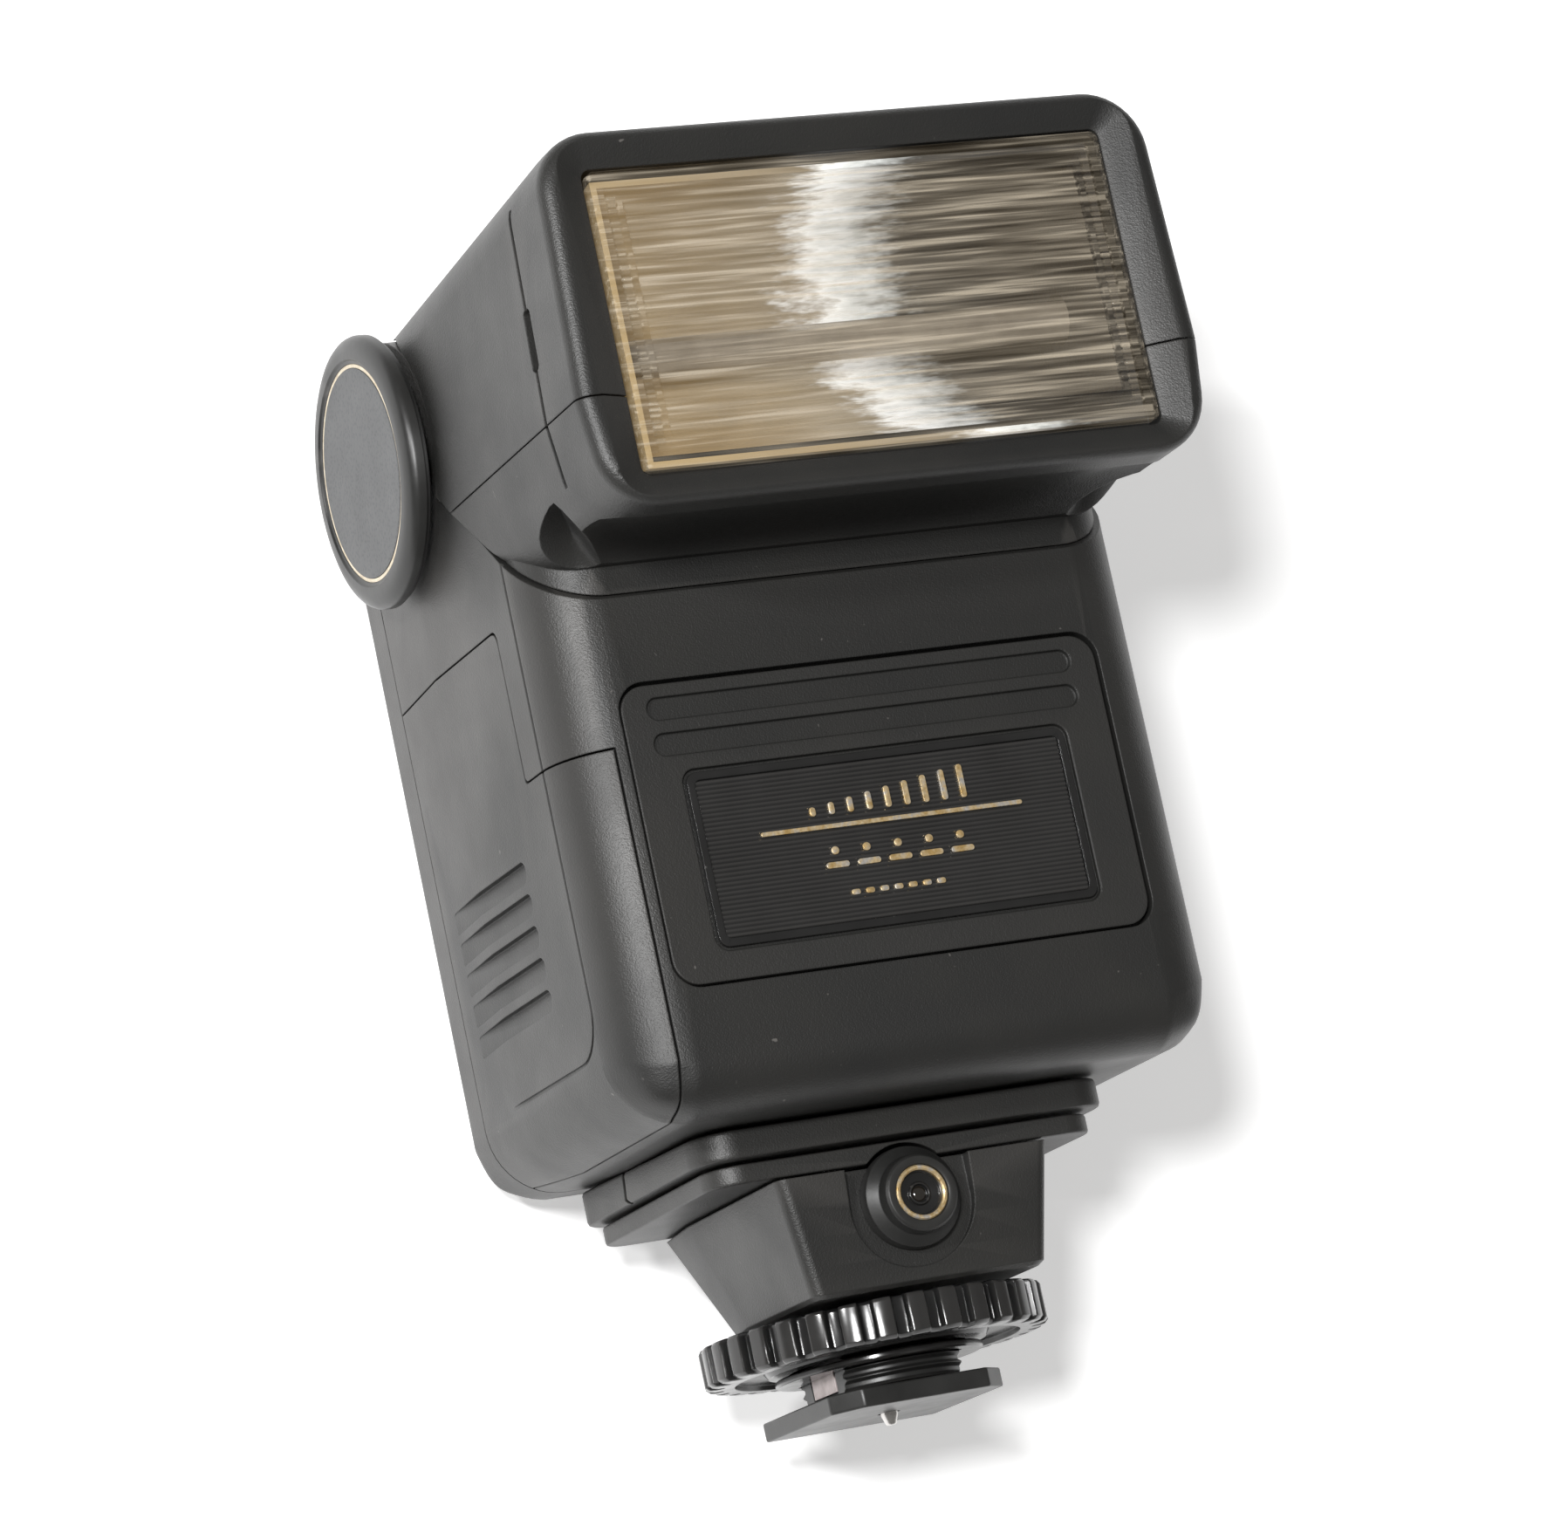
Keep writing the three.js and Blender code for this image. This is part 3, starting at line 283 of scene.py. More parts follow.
# ------------------------------------------------------------------ materials
class Nodes:
    """A material's node tree, with short calls for the nodes that the finishes share."""

    def __init__(self, name):
        self.material = bpy.data.materials.new(name)
        self.material.use_nodes = True
        self.tree = self.material.node_tree
        self.shader = self.tree.nodes["Principled BSDF"]
        self.coordinates = self.tree.nodes.new("ShaderNodeTexCoord").outputs["Object"]

    def set(self, **values):
        for name, value in values.items():
            self.shader.inputs[name.replace("_", " ")].default_value = value

    def link(self, source, target):
        self.tree.links.new(source, target)

    def place(self, scale=(1, 1, 1)):
        node = self.tree.nodes.new("ShaderNodeMapping")
        node.inputs["Scale"].default_value = scale
        self.link(self.coordinates, node.inputs["Vector"])
        return node.outputs["Vector"]

    def noise(self, size, detail=2, roughness=0.5, stretch=(1, 1, 1)):
        """Noise whose features are about size millimetres across."""
        node = self.tree.nodes.new("ShaderNodeTexNoise")
        node.inputs["Scale"].default_value = 1 / (size * MM)
        node.inputs["Detail"].default_value = detail
        node.inputs["Roughness"].default_value = roughness
        self.link(self.place(stretch), node.inputs["Vector"])
        return node.outputs["Fac"]

    def cells(self, size):
        node = self.tree.nodes.new("ShaderNodeTexVoronoi")
        node.inputs["Scale"].default_value = 1 / (size * MM)
        self.link(self.place(), node.inputs["Vector"])
        return node.outputs["Distance"]

    def ramp(self, value, stops):
        """A colour ramp through (position, colour) stops; a plain number is a grey."""
        node = self.tree.nodes.new("ShaderNodeValToRGB")
        ramp = node.color_ramp
        while len(ramp.elements) < len(stops):
            ramp.elements.new(0.5)
        for element, (position, colour) in zip(ramp.elements, stops):
            element.position = position
            element.color = (*colour, 1) if isinstance(colour, tuple) else (colour,) * 3 + (1,)
        self.link(value, node.inputs["Fac"])
        return node.outputs["Color"]

    def mix(self, factor, a, b):
        node = self.tree.nodes.new("ShaderNodeMix")
        node.data_type = "RGBA"
        for value, socket in ((factor, node.inputs[0]), (a, node.inputs[6]), (b, node.inputs[7])):
            if isinstance(value, bpy.types.NodeSocket):
                self.link(value, socket)
            else:
                socket.default_value = value if isinstance(value, (int, float)) else (*value, 1)
        return node.outputs[2]

    def math(self, operation, a, b=0.0):
        node = self.tree.nodes.new("ShaderNodeMath")
        node.operation = operation
        for value, socket in ((a, node.inputs[0]), (b, node.inputs[1])):
            if isinstance(value, bpy.types.NodeSocket):
                self.link(value, socket)
            else:
                socket.default_value = value
        return node.outputs[0]

    def axis(self, name):
        node = self.tree.nodes.new("ShaderNodeSeparateXYZ")
        self.link(self.coordinates, node.inputs[0])
        return node.outputs[name]

    def bump(self, height, depth, strength=1.0, edge=0.0):
        """Bumps of about depth millimetres, over edges softened to the radius edge."""
        node = self.tree.nodes.new("ShaderNodeBump")
        node.inputs["Distance"].default_value = depth * MM
        node.inputs["Strength"].default_value = strength
        self.link(height, node.inputs["Height"])
        if edge:
            soft = self.tree.nodes.new("ShaderNodeBevel")
            soft.samples = 4
            soft.inputs["Radius"].default_value = edge * MM
            self.link(soft.outputs["Normal"], node.inputs["Normal"])
        self.link(node.outputs["Normal"], self.shader.inputs["Normal"])

    def wear(self, base, light, amount=0.55):
        """Dust specks, fine scratches and paler rubbed edges over a base colour."""
        dust = self.ramp(self.noise(0.9, 1), [(0.0, 0.0), (0.79, 0.0), (0.84, 1.0)])
        scratch = self.ramp(self.noise(1.4, 3, 0.7, (1, 1, 0.06)), [(0.0, 0.0), (0.72, 0.0), (0.78, 1.0)])
        pointy = self.tree.nodes.new("ShaderNodeNewGeometry").outputs["Pointiness"]
        edge = self.ramp(pointy, [(0.0, 0.0), (0.53, 0.0), (0.62, 1.0)])
        marks = self.math("MAXIMUM", dust, self.math("MULTIPLY", scratch, 0.35))
        marks = self.math("MAXIMUM", marks, self.math("MULTIPLY", edge, 0.3))
        return self.mix(self.math("MULTIPLY", marks, amount), base, light)


def textured_casing():
    """Black moulded plastic with a fine spark-eroded grain, rubbed smoother in patches."""
    m = Nodes("textured_casing")
    patches = m.noise(14, 3, 0.6)
    base = m.ramp(patches, [(0.3, (0.012, 0.012, 0.0115)), (0.7, (0.020, 0.0195, 0.018))])
    m.link(m.wear(base, (0.16, 0.15, 0.14)), m.shader.inputs["Base Color"])
    m.link(m.ramp(patches, [(0.3, 0.50), (0.75, 0.40)]), m.shader.inputs["Roughness"])
    m.set(Specular_IOR_Level=0.5)
    grain = m.mix(0.5, m.noise(0.32, 2, 0.6), m.noise(0.16, 1))
    m.bump(grain, 0.045, 1.0, edge=0.22)
    return m.material


def gloss_black(name, base, roughness, grain_depth):
    """Smooth black plastic with faint handling marks."""
    m = Nodes(name)
    clouds = m.noise(5, 3, 0.6)
    dark = m.ramp(clouds, [(0.3, base), (0.7, tuple(c * 1.5 for c in base))])
    m.link(m.wear(dark, (0.2, 0.19, 0.18), 0.4), m.shader.inputs["Base Color"])
    m.link(m.ramp(clouds, [(0.3, roughness), (0.75, roughness + 0.1)]), m.shader.inputs["Roughness"])
    m.bump(m.noise(0.6, 2), grain_depth, 0.6, edge=0.15)
    return m.material


def grey_inlay():
    """Grey printed disc with a fine dotted grain."""
    m = Nodes("grey_inlay")
    dots = m.cells(0.42)
    greys = [(0.1, (0.060, 0.062, 0.064)), (0.5, (0.085, 0.087, 0.089))]
    m.link(m.ramp(dots, greys), m.shader.inputs["Base Color"])
    m.link(m.ramp(m.noise(6, 2), [(0.3, 0.5), (0.7, 0.6)]), m.shader.inputs["Roughness"])
    m.bump(dots, 0.02, 0.7)
    return m.material


def cream_trim():
    """Pale gold line round the knob's inlay."""
    m = Nodes("cream_trim")
    creams = [(0.3, (0.50, 0.42, 0.30)), (0.7, (0.72, 0.64, 0.50))]
    m.link(m.ramp(m.noise(0.8, 2), creams), m.shader.inputs["Base Color"])
    m.set(Roughness=0.4, Metallic=0.3)
    return m.material


def gold_foil():
    """Worn hot-stamped foil: gold in places, silver where it has rubbed."""
    m = Nodes("gold_foil")
    worn = m.noise(1.3, 3, 0.7)
    golds = [(0.35, (0.62, 0.42, 0.17)), (0.52, (0.78, 0.62, 0.38)), (0.62, (0.62, 0.58, 0.52))]
    m.link(m.ramp(worn, golds), m.shader.inputs["Base Color"])
    m.link(m.ramp(m.noise(0.3, 2), [(0.3, 0.25), (0.7, 0.5)]), m.shader.inputs["Roughness"])
    m.set(Metallic=0.75)
    m.bump(m.noise(0.25, 2), 0.02, 0.8)
    return m.material


def steel(name, tone, roughness):
    """Metal with short drawn streaks."""
    m = Nodes(name)
    streaks = m.noise(0.5, 3, 0.6, (0.15, 1, 1))
    shade = tuple(c * 0.75 for c in tone)
    m.link(m.ramp(streaks, [(0.3, shade), (0.7, tone)]), m.shader.inputs["Base Color"])
    m.link(m.ramp(streaks, [(0.3, roughness), (0.7, roughness + 0.15)]), m.shader.inputs["Roughness"])
    m.set(Metallic=1.0)
    m.bump(streaks, 0.01, 0.5)
    return m.material


def plain_grain(name, low, high, size, roughness):
    """A mottled finish for the pieces inside the casing."""
    m = Nodes(name)
    grain = m.noise(size, 3, 0.6)
    m.link(m.ramp(grain, [(0.35, low), (0.65, high)]), m.shader.inputs["Base Color"])
    m.link(m.ramp(grain, [(0.3, roughness), (0.7, roughness + 0.12)]), m.shader.inputs["Roughness"])
    m.bump(grain, 0.03, 0.5)
    return m.material


def clear_lens():
    """Clear ribbed plastic, slightly warm, that shows the reflector between its ribs."""
    m = Nodes("clear_lens")
    streaks = m.noise(0.5, 2, 0.6, (0.03, 1, 1))
    ambers = [(0.35, (0.16, 0.12, 0.07)), (0.65, (0.62, 0.54, 0.42))]
    m.link(m.ramp(streaks, ambers), m.shader.inputs["Base Color"])
    m.link(m.ramp(streaks, [(0.35, 0.04), (0.58, 0.12), (0.70, 0.38)]), m.shader.inputs["Alpha"])
    m.set(Roughness=0.06, Specular_IOR_Level=0.6)
    return m.material


def bright_reflector():
    """Polished trough with painted light: champagne on the left from the metal's tint plus painted reflection,
    a painted highlight band near the middle, painted dark reflection to the right, and a painted glow.
    """
    m = Nodes("bright_reflector")
    half = WINDOW_HIGH.x * MM
    middle = (WINDOW_LOW.z + WINDOW_HIGH.z) / 2 * MM
    # Where each point lies across the painted reflection, slanted with height and wandering with noise.
    across = m.math("MULTIPLY", m.math("ADD", m.axis("X"), half), 1 / (2 * half))
    slant = m.math("MULTIPLY", m.math("SUBTRACT", m.axis("Z"), middle), 7.0)
    wander = m.math("MULTIPLY", m.math("SUBTRACT", m.noise(1.2, 3, 0.7, (0.25, 1, 1)), 0.5), 0.26)
    place = m.math("ADD", m.math("ADD", across, slant), wander)
    # Base colour by place: the metal's champagne tint with painted reflection on the left, a painted highlight
    # band near the middle, painted dark reflection to the right.
    painted_reflection_tones = [(0.0, (0.50, 0.37, 0.19)), (0.30, (0.42, 0.33, 0.21)), (0.52, (0.34, 0.28, 0.20)),
             (0.58, (0.92, 0.93, 0.88)), (0.66, (0.70, 0.74, 0.72)), (0.76, (0.05, 0.052, 0.055)),
             (1.0, (0.018, 0.018, 0.02))]
    m.link(m.ramp(place, painted_reflection_tones), m.shader.inputs["Base Color"])
    # Emission colour by the same place: a painted glow, dim over the left and bright along the painted
    # highlight band.
    painted_glow = [(0.0, (0.16, 0.11, 0.05)), (0.50, (0.10, 0.08, 0.05)), (0.58, 0.85), (0.66, 0.45), (0.74, 0.0)]
    m.link(m.ramp(place, painted_glow), m.shader.inputs["Emission Color"])
    # Emission strength of the painted glow; the reflector is no lamp.
    m.set(Metallic=0.35, Roughness=0.3, Emission_Strength=0.7)
    m.bump(m.noise(0.35, 3, 0.6, (0.05, 1, 1)), 0.05, 0.8)
    return m.material


def glass(name, tone, roughness=0.05):
    """Smooth coated plastic or glass in one tone."""
    m = Nodes(name)
    pale = tuple(c * 1.3 for c in tone)
    m.link(m.ramp(m.noise(2, 2), [(0.3, tone), (0.7, pale)]), m.shader.inputs["Base Color"])
    m.set(Roughness=roughness, Specular_IOR_Level=0.7, Coat_Weight=0.6)
    return m.material


def ground_metal():
    """Dull pinkish metal of the ground contact."""
    m = Nodes("ground_metal")
    pinks = [(0.3, (0.40, 0.34, 0.33)), (0.7, (0.62, 0.55, 0.54))]
    m.link(m.ramp(m.noise(1.5, 3), pinks), m.shader.inputs["Base Color"])
    m.set(Roughness=0.5, Metallic=0.35)
    m.bump(m.noise(0.3, 2), 0.02, 0.5)
    return m.material


CASING = textured_casing()
SATIN = gloss_black("moulded_black", (0.012, 0.012, 0.0115), 0.33, 0.012)
GLOSS = gloss_black("gloss_black", (0.008, 0.008, 0.008), 0.14, 0.004)
INLAY = grey_inlay()
CREAM = cream_trim()
GOLD = gold_foil()
STEEL = steel("bright_steel", (0.72, 0.70, 0.68), 0.25)
LENS = clear_lens()
# Reflector finish with painted reflections, a painted highlight band and a painted glow.
PAINTED_REFLECTOR = bright_reflector()
GROUND = ground_metal()
DARK_GLASS = glass("dark_lens", (0.01, 0.008, 0.006))
AMBER = glass("amber_lamp", (0.55, 0.14, 0.03), 0.15)
WHITE_PRINT = plain_grain("white_print", (0.60, 0.60, 0.58), (0.78, 0.78, 0.76), 0.5, 0.5)


# ------------------------------------------------------------------ body casing
def body_block(inset):
    """The body before the head's room is cut: straight to the crease, tapering behind it."""
    half = SIDE_X - inset
    rings = []
    for y, narrow, rise in ((FRONT_Y + inset, 0, 0), (0, 0, 0), (BACK_Y - inset, TAPER, RISE)):
        w, z = half - narrow, BOTTOM_Z + inset + rise
        rings.append([(-w, y, z), (w, y, z), (w, y, BLOCK_TOP), (-w, y, BLOCK_TOP)])
    obj = loft("body", rings)
    mesh = obj.data
    weights = mesh.attributes.new("bevel_weight_edge", "FLOAT", "EDGE")
    big = CORNER_R - inset
    for edge in mesh.edges:
        a, b = (mesh.vertices[i].co / MM for i in edge.vertices)
        low = max(a.z, b.z) < 60
        upright = abs(a.z - b.z) > 20
        front = max(a.y, b.y) < FRONT_Y / 2
        back = min(a.y, b.y) > 5
        across = abs(a.x - b.x) > 20
        radius = 0
        if upright and front or low and not across and not upright:
            radius = big
        elif upright and back:
            radius = BACK_R - inset / 2
        elif low and across and front:
            radius = FRONT_BOTTOM_R - inset / 2
        elif low and across and back:
            radius = BACK_BOTTOM_R - inset / 2
        weights.data[edge.index].value = radius / big
    modifier = obj.modifiers.new("corners", "BEVEL")
    modifier.width = big * MM
    modifier.segments = 12
    modifier.limit_method = "WEIGHT"
    return bake(obj)


def seam_hit(radius, drop=0.0):
    """Where the sloping seam, lowered by drop, first meets a circle about the pivot, as (y, z)."""
    along = Vector((math.cos(SLOPE), math.sin(SLOPE)))
    start = Vector((FRONT_Y, SEAM_Z - PIVOT.z)) + Vector((along.y, -along.x)) * drop
    reach = -start.dot(along)
    off = start.x * along.y - start.y * along.x
    hit = start + along * (reach - math.sqrt(radius ** 2 - off ** 2))
    return Vector((hit.x, hit.y + PIVOT.z))


def arc_points(radius, start, end, steps=24):
    """Points on a circle about the pivot in the side view, from one angle to another."""
    return [(radius * math.cos(start + (end - start) * i / steps),
             PIVOT.z + radius * math.sin(start + (end - start) * i / steps)) for i in range(steps + 1)]


def room_above(name, radius, over, x0, x1, wall=0.0):
    """The space above the body from x0 to x1: over the ear if over is true, else down into the saddle."""
    radius += wall
    shoulder_z = SHOULDER_Z - wall
    hit = seam_hit(radius, wall)
    start = math.atan2(hit.y - PIVOT.z, hit.x)
    end = math.asin((shoulder_z - PIVOT.z) / radius) - (math.tau if over else 0)
    ahead = -45.0
    shape = [(ahead, hit.y + (ahead - hit.x) * math.tan(SLOPE))] + arc_points(radius, start, end)
    shape += [(40, shoulder_z), (40, 140), (ahead, 140)]
    return prism(name, "x", shape, x0, x1)


def casing():
    """The whole hollow body, before it is split into front, door and rear."""
    body = body_block(0)
    cut(body, room_above("saddle", SADDLE_R, False, -EAR_X, EAR_X))
    for side in (-1, 1):
        x0, x1 = sorted((side * EAR_X, side * 50))
        cut(body, room_above("ear_room", EAR_R, True, x0, x1))
    hollow = body_block(WALL)
    cut(hollow, room_above("saddle", SADDLE_R, False, -50, 50, WALL))
    return cut(body, hollow, prism("axle_bore", "x", circle(AXLE_BORE_R, 0, PIVOT.z), -50, 50))


DOOR_X = DOOR_HIGH.x
DOOR_TOP = DOOR_HIGH.z
STEP_Y = -17.8
STEP_Z = 63.0


def door_region(grow):
    """The door's share of the casing: low and wide in front of the step, tall behind it."""
    step_y, top, step_z = STEP_Y - grow, DOOR_TOP + grow, STEP_Z + grow
    side = outline([(-45, 0, 0), (SPLIT_Y + 2, 0, 0), (SPLIT_Y + 2, top, 0),
                    (step_y, top, 1.2), (step_y, step_z, 0.6), (-45, step_z, 0)], 5)
    return prism("door_region", "x", side, -45, DOOR_X + grow)


COVER_SCREWS = [(-21.0, 32.6), (21.0, 32.6), (-23.6, 82.0), (23.6, 82.0)]
GRIPS = 5
GRIP_TOP = 56.7
GRIP_PITCH = 3.15
GRIP_HEIGHT = 2.2
GRIP_R = 1.05
GRIP_DEPTH = 0.85
LINE_WIDTH = 0.4
LINE_DEPTH = 0.22


def grip_slots():
    """Round-ended finger slots in the side of the door."""
    slots = []
    for i in range(GRIPS):
        top = GRIP_TOP - GRIP_PITCH * i
        shape = rectangle(-13.4, 10.0, top - GRIP_HEIGHT, top, GRIP_R)
        slots.append(prism("grip", "x", shape, -45, -SIDE_X + GRIP_DEPTH))
    return slots


def side_line(side):
    """The shallow line that runs down a side behind the front corner and turns back along the bottom."""
    x0, x1 = sorted((side * (SIDE_X - LINE_DEPTH), side * (SIDE_X + 2)))
    y, z, r = -22.75, 35.2, 5
    line = prism("side_line", "x", rectangle(y, 60, z, 95, r), x0, x1)
    inside = rectangle(y + LINE_WIDTH, 61, z + LINE_WIDTH, 96, r - LINE_WIDTH)
    return cut(line, prism("inside", "x", inside, x0 - 1, x1 + 1))


def split_casing():
    """The front shell, the battery door and the rear cover."""
    front = casing()
    rear = copy_of(front, "rear_cover")
    door = copy_of(front, "battery_door")
    front.name = "front_shell"
    cut(front, block("behind", -50, 50, SPLIT_Y - SEAM / 2, 60, 0, 150), door_region(SEAM))
    meet(door, door_region(0), block("ahead", -50, 50, -60, SPLIT_Y - SEAM / 2, 0, 150))
    meet(rear, block("back", -50, 50, SPLIT_Y + SEAM / 2, 60, 0, 150))
    return front, door, rear


front_shell, battery_door, rear_cover = split_casing()

panel_opening = rectangle(PANEL_LOW.x - 0.3, PANEL_HIGH.x + 0.3, PANEL_LOW.z - 0.3, PANEL_HIGH.z + 0.3, 2.8)
cut(front_shell,
    prism("panel_bed", "y", panel_opening, FRONT_Y - 2, PANEL_HIGH.y + 0.3),
    block("neck_hole", -11, 11, -11, 11, 20, BOTTOM_Z + WALL + 1))
cut(front_shell, side_line(-1), side_line(1))
cut(battery_door, side_line(-1), *grip_slots())
for x, z in COVER_SCREWS:
    cut(rear_cover,
        prism("screw_bore", "y", circle(1.6, x, z, 24), 0, 40),
        prism("screw_sink", "y", circle(2.8, x, z, 32), BACK_Y - 1.4, 40))
plate_opening = rectangle(REAR_LOW.x - 0.3, REAR_HIGH.x + 0.3, REAR_LOW.z - 0.3, REAR_HIGH.z + 0.3, 2)
lamp_x, lamp_z = (LAMP_LOW.x + LAMP_HIGH.x) / 2, (LAMP_LOW.z + LAMP_HIGH.z) / 2
button_x = (BUTTON_LOW.x + BUTTON_HIGH.x) / 2
mode_z = (MODE_LOW.z + MODE_HIGH.z) / 2
cut(rear_cover,
    prism("plate_bed", "y", plate_opening, BACK_Y - 1.3, 40),
    prism("hub_hole", "y", circle(2, 0, (DIAL_LOW.z + DIAL_HIGH.z) / 2, 32), 0, 40),
    prism("lamp_hole", "y", circle(2.7, lamp_x, lamp_z, 40), 0, 40),
    prism("button_hole", "y", circle(3.4, button_x, lamp_z, 40), 0, 40),
    prism("power_slot", "y", rectangle(-6.5, 6.5, lamp_z - 1.6, lamp_z + 1.6, 0.5), 0, 40),
    prism("mode_slot", "y", rectangle(-8, 8, mode_z - 1.4, mode_z + 1.4, 0.5), 0, 40))

piece(front_shell, "flash_body", CASING, ["front_shell"])
piece(battery_door, "battery_door", CASING, ["battery_door"])
piece(rear_cover, "flash_body", CASING, ["rear_cover"])


# ------------------------------------------------------------------ front panel and nameplate
def front_panel():
    """A recessed sheet with two long round-ended grooves and a bed for the nameplate."""
    shape = rectangle(PANEL_LOW.x, PANEL_HIGH.x, PANEL_LOW.z, PANEL_HIGH.z, 2.6)
    sheet = prism("front_panel", "y", shape, PANEL_LOW.y - 0.1, PANEL_HIGH.y)
    for z in (66.4, 62.9):
        groove = rectangle(-22.4, 22.4, z - 1.1, z + 1.1, 1.08)
        cut(sheet, prism("groove", "y", groove, FRONT_Y - 2, PANEL_LOW.y + 0.45))
    bed = rectangle(PLATE_LOW.x - 0.35, PLATE_HIGH.x + 0.35, PLATE_LOW.z - 0.35, PLATE_HIGH.z + 0.35, 1.4)
    cut(sheet, prism("bed", "y", bed, FRONT_Y - 2, PLATE_HIGH.y + 0.05))
    return round_edges(sheet, 0.16, 2)


def nameplate():
    """A plate with a raised rim round fine horizontal ribs."""
    rim = prism("nameplate", "y", rectangle(PLATE_LOW.x, PLATE_HIGH.x, PLATE_LOW.z, PLATE_HIGH.z, 1.1),
                PLATE_LOW.y - 0.05, PLATE_HIGH.y)
    inner = rectangle(PLATE_LOW.x + 0.8, PLATE_HIGH.x - 0.8, PLATE_LOW.z + 0.8, PLATE_HIGH.z - 0.8, 0.6)
    cut(rim, prism("field", "y", inner, FRONT_Y - 2, PLATE_LOW.y + 0.3))
    return round_edges(rim, 0.1, 2)


def plate_ribs():
    """The ribbed field inside the rim, as one strip with a corrugated face."""
    low, high = PLATE_LOW.z + 0.85, PLATE_HIGH.z - 0.85
    count = 34
    pitch = (high - low) / count
    face, back = PLATE_LOW.y + 0.12, PLATE_LOW.y + 0.32
    shape = [(back, low)]
    for i in range(count):
        z = low + i * pitch
        shape += [(face + 0.1, z + pitch * 0.1), (face, z + pitch * 0.35), (face, z + pitch * 0.65),
                  (face + 0.1, z + pitch * 0.9)]
    shape.append((back, high))
    return prism("nameplate_ribs", "x", shape, PLATE_LOW.x + 0.85, PLATE_HIGH.x - 0.85)


def gold_bar(name, x0, x1, z0, z1, r):
    face = PLATE_LOW.y + 0.12
    bar = prism(name, "y", rectangle(x0, x1, z0, z1, r, 4), face - 0.22, face + 0.1)
    return piece(round_edges(bar, 0.07, 2), "flash_body", GOLD)


piece(front_panel(), "flash_body", CASING, ["front_panel"])
piece(nameplate(), "flash_body", GLOSS, ["nameplate"])
piece(plate_ribs(), "flash_body", GLOSS, angle=50)

gold_bar("plate_rule", -13.6, 14.0, 52.85, 53.3, 0.2)
for i in range(9):
    x = -8.2 + i * 2.0
    gold_bar(f"plate_mark_upper_{i + 1}", x, x + 0.62, 54.2, 55.1 + 0.3 * i, 0.28)
for i in range(5):
    x = -7.6 + i * 3.3
    gold_bar(f"plate_mark_middle_{i + 1}", x, x + 2.4, 49.0, 49.6, 0.28)
    gold_bar(f"plate_mark_dot_{i + 1}", x + 0.8, x + 1.6, 50.3, 51.1, 0.38)
for i in range(7):
    x = -5.6 + i * 1.5
    gold_bar(f"plate_mark_lower_{i + 1}", x, x + 0.9, 46.2, 46.75, 0.22)


# ------------------------------------------------------------------ tilting head
def head_ring(y, inset, top):
    """The head's outline seen from the front at depth y, shrunk by inset."""
    low, high = BEZEL_BOTTOM + inset, top - inset
    bottom, parting, upper = (HEAD_HALF[k] - inset for k in ("bottom", "parting", "top"))
    r = HEAD_R - inset * 0.7
    shape = outline([(-bottom, low, r), (bottom, low, r), (parting, PARTING_Z, 3), (upper, high, r),
                     (-upper, high, r), (-parting, PARTING_Z, 3)], 10)
    return [(u, y, v) for u, v in shape]


def head_block():
    """Lofted from the rounded front rim back to the barrel."""
    steps = 6
    straight = -47  # the top is level as far back as this, then falls to the barrel
    rings = []
    for i in range(steps + 1):
        a = math.radians(90 * (steps - i) / steps)
        y = HEAD_FRONT + RIM_R * (1 - math.sin(a))
        rings.append(head_ring(y, RIM_R * (1 - math.cos(a)), HEAD_TOP))
    for y in (straight, -38, -28, -18, -8, 0, BARREL_R + 1):
        share = max(0, min(1, (y - straight) / -straight))
        rings.append(head_ring(y, 0, HEAD_TOP + (HEAD_REAR_TOP - HEAD_TOP) * share))
    return loft("head", rings)


def neck_plan():
    """The neck's outline seen from above."""
    w = HEAD_HALF["bottom"] - 0.05
    return outline([(-w, FRONT_Y, CORNER_R), (w, FRONT_Y, CORNER_R), (w, 5, 0), (-w, 5, 0)], 16)


def bezier(points, t):
    while len(points) > 1:
        points = [a.lerp(b, t) for a, b in zip(points, points[1:])]
    return points[0]


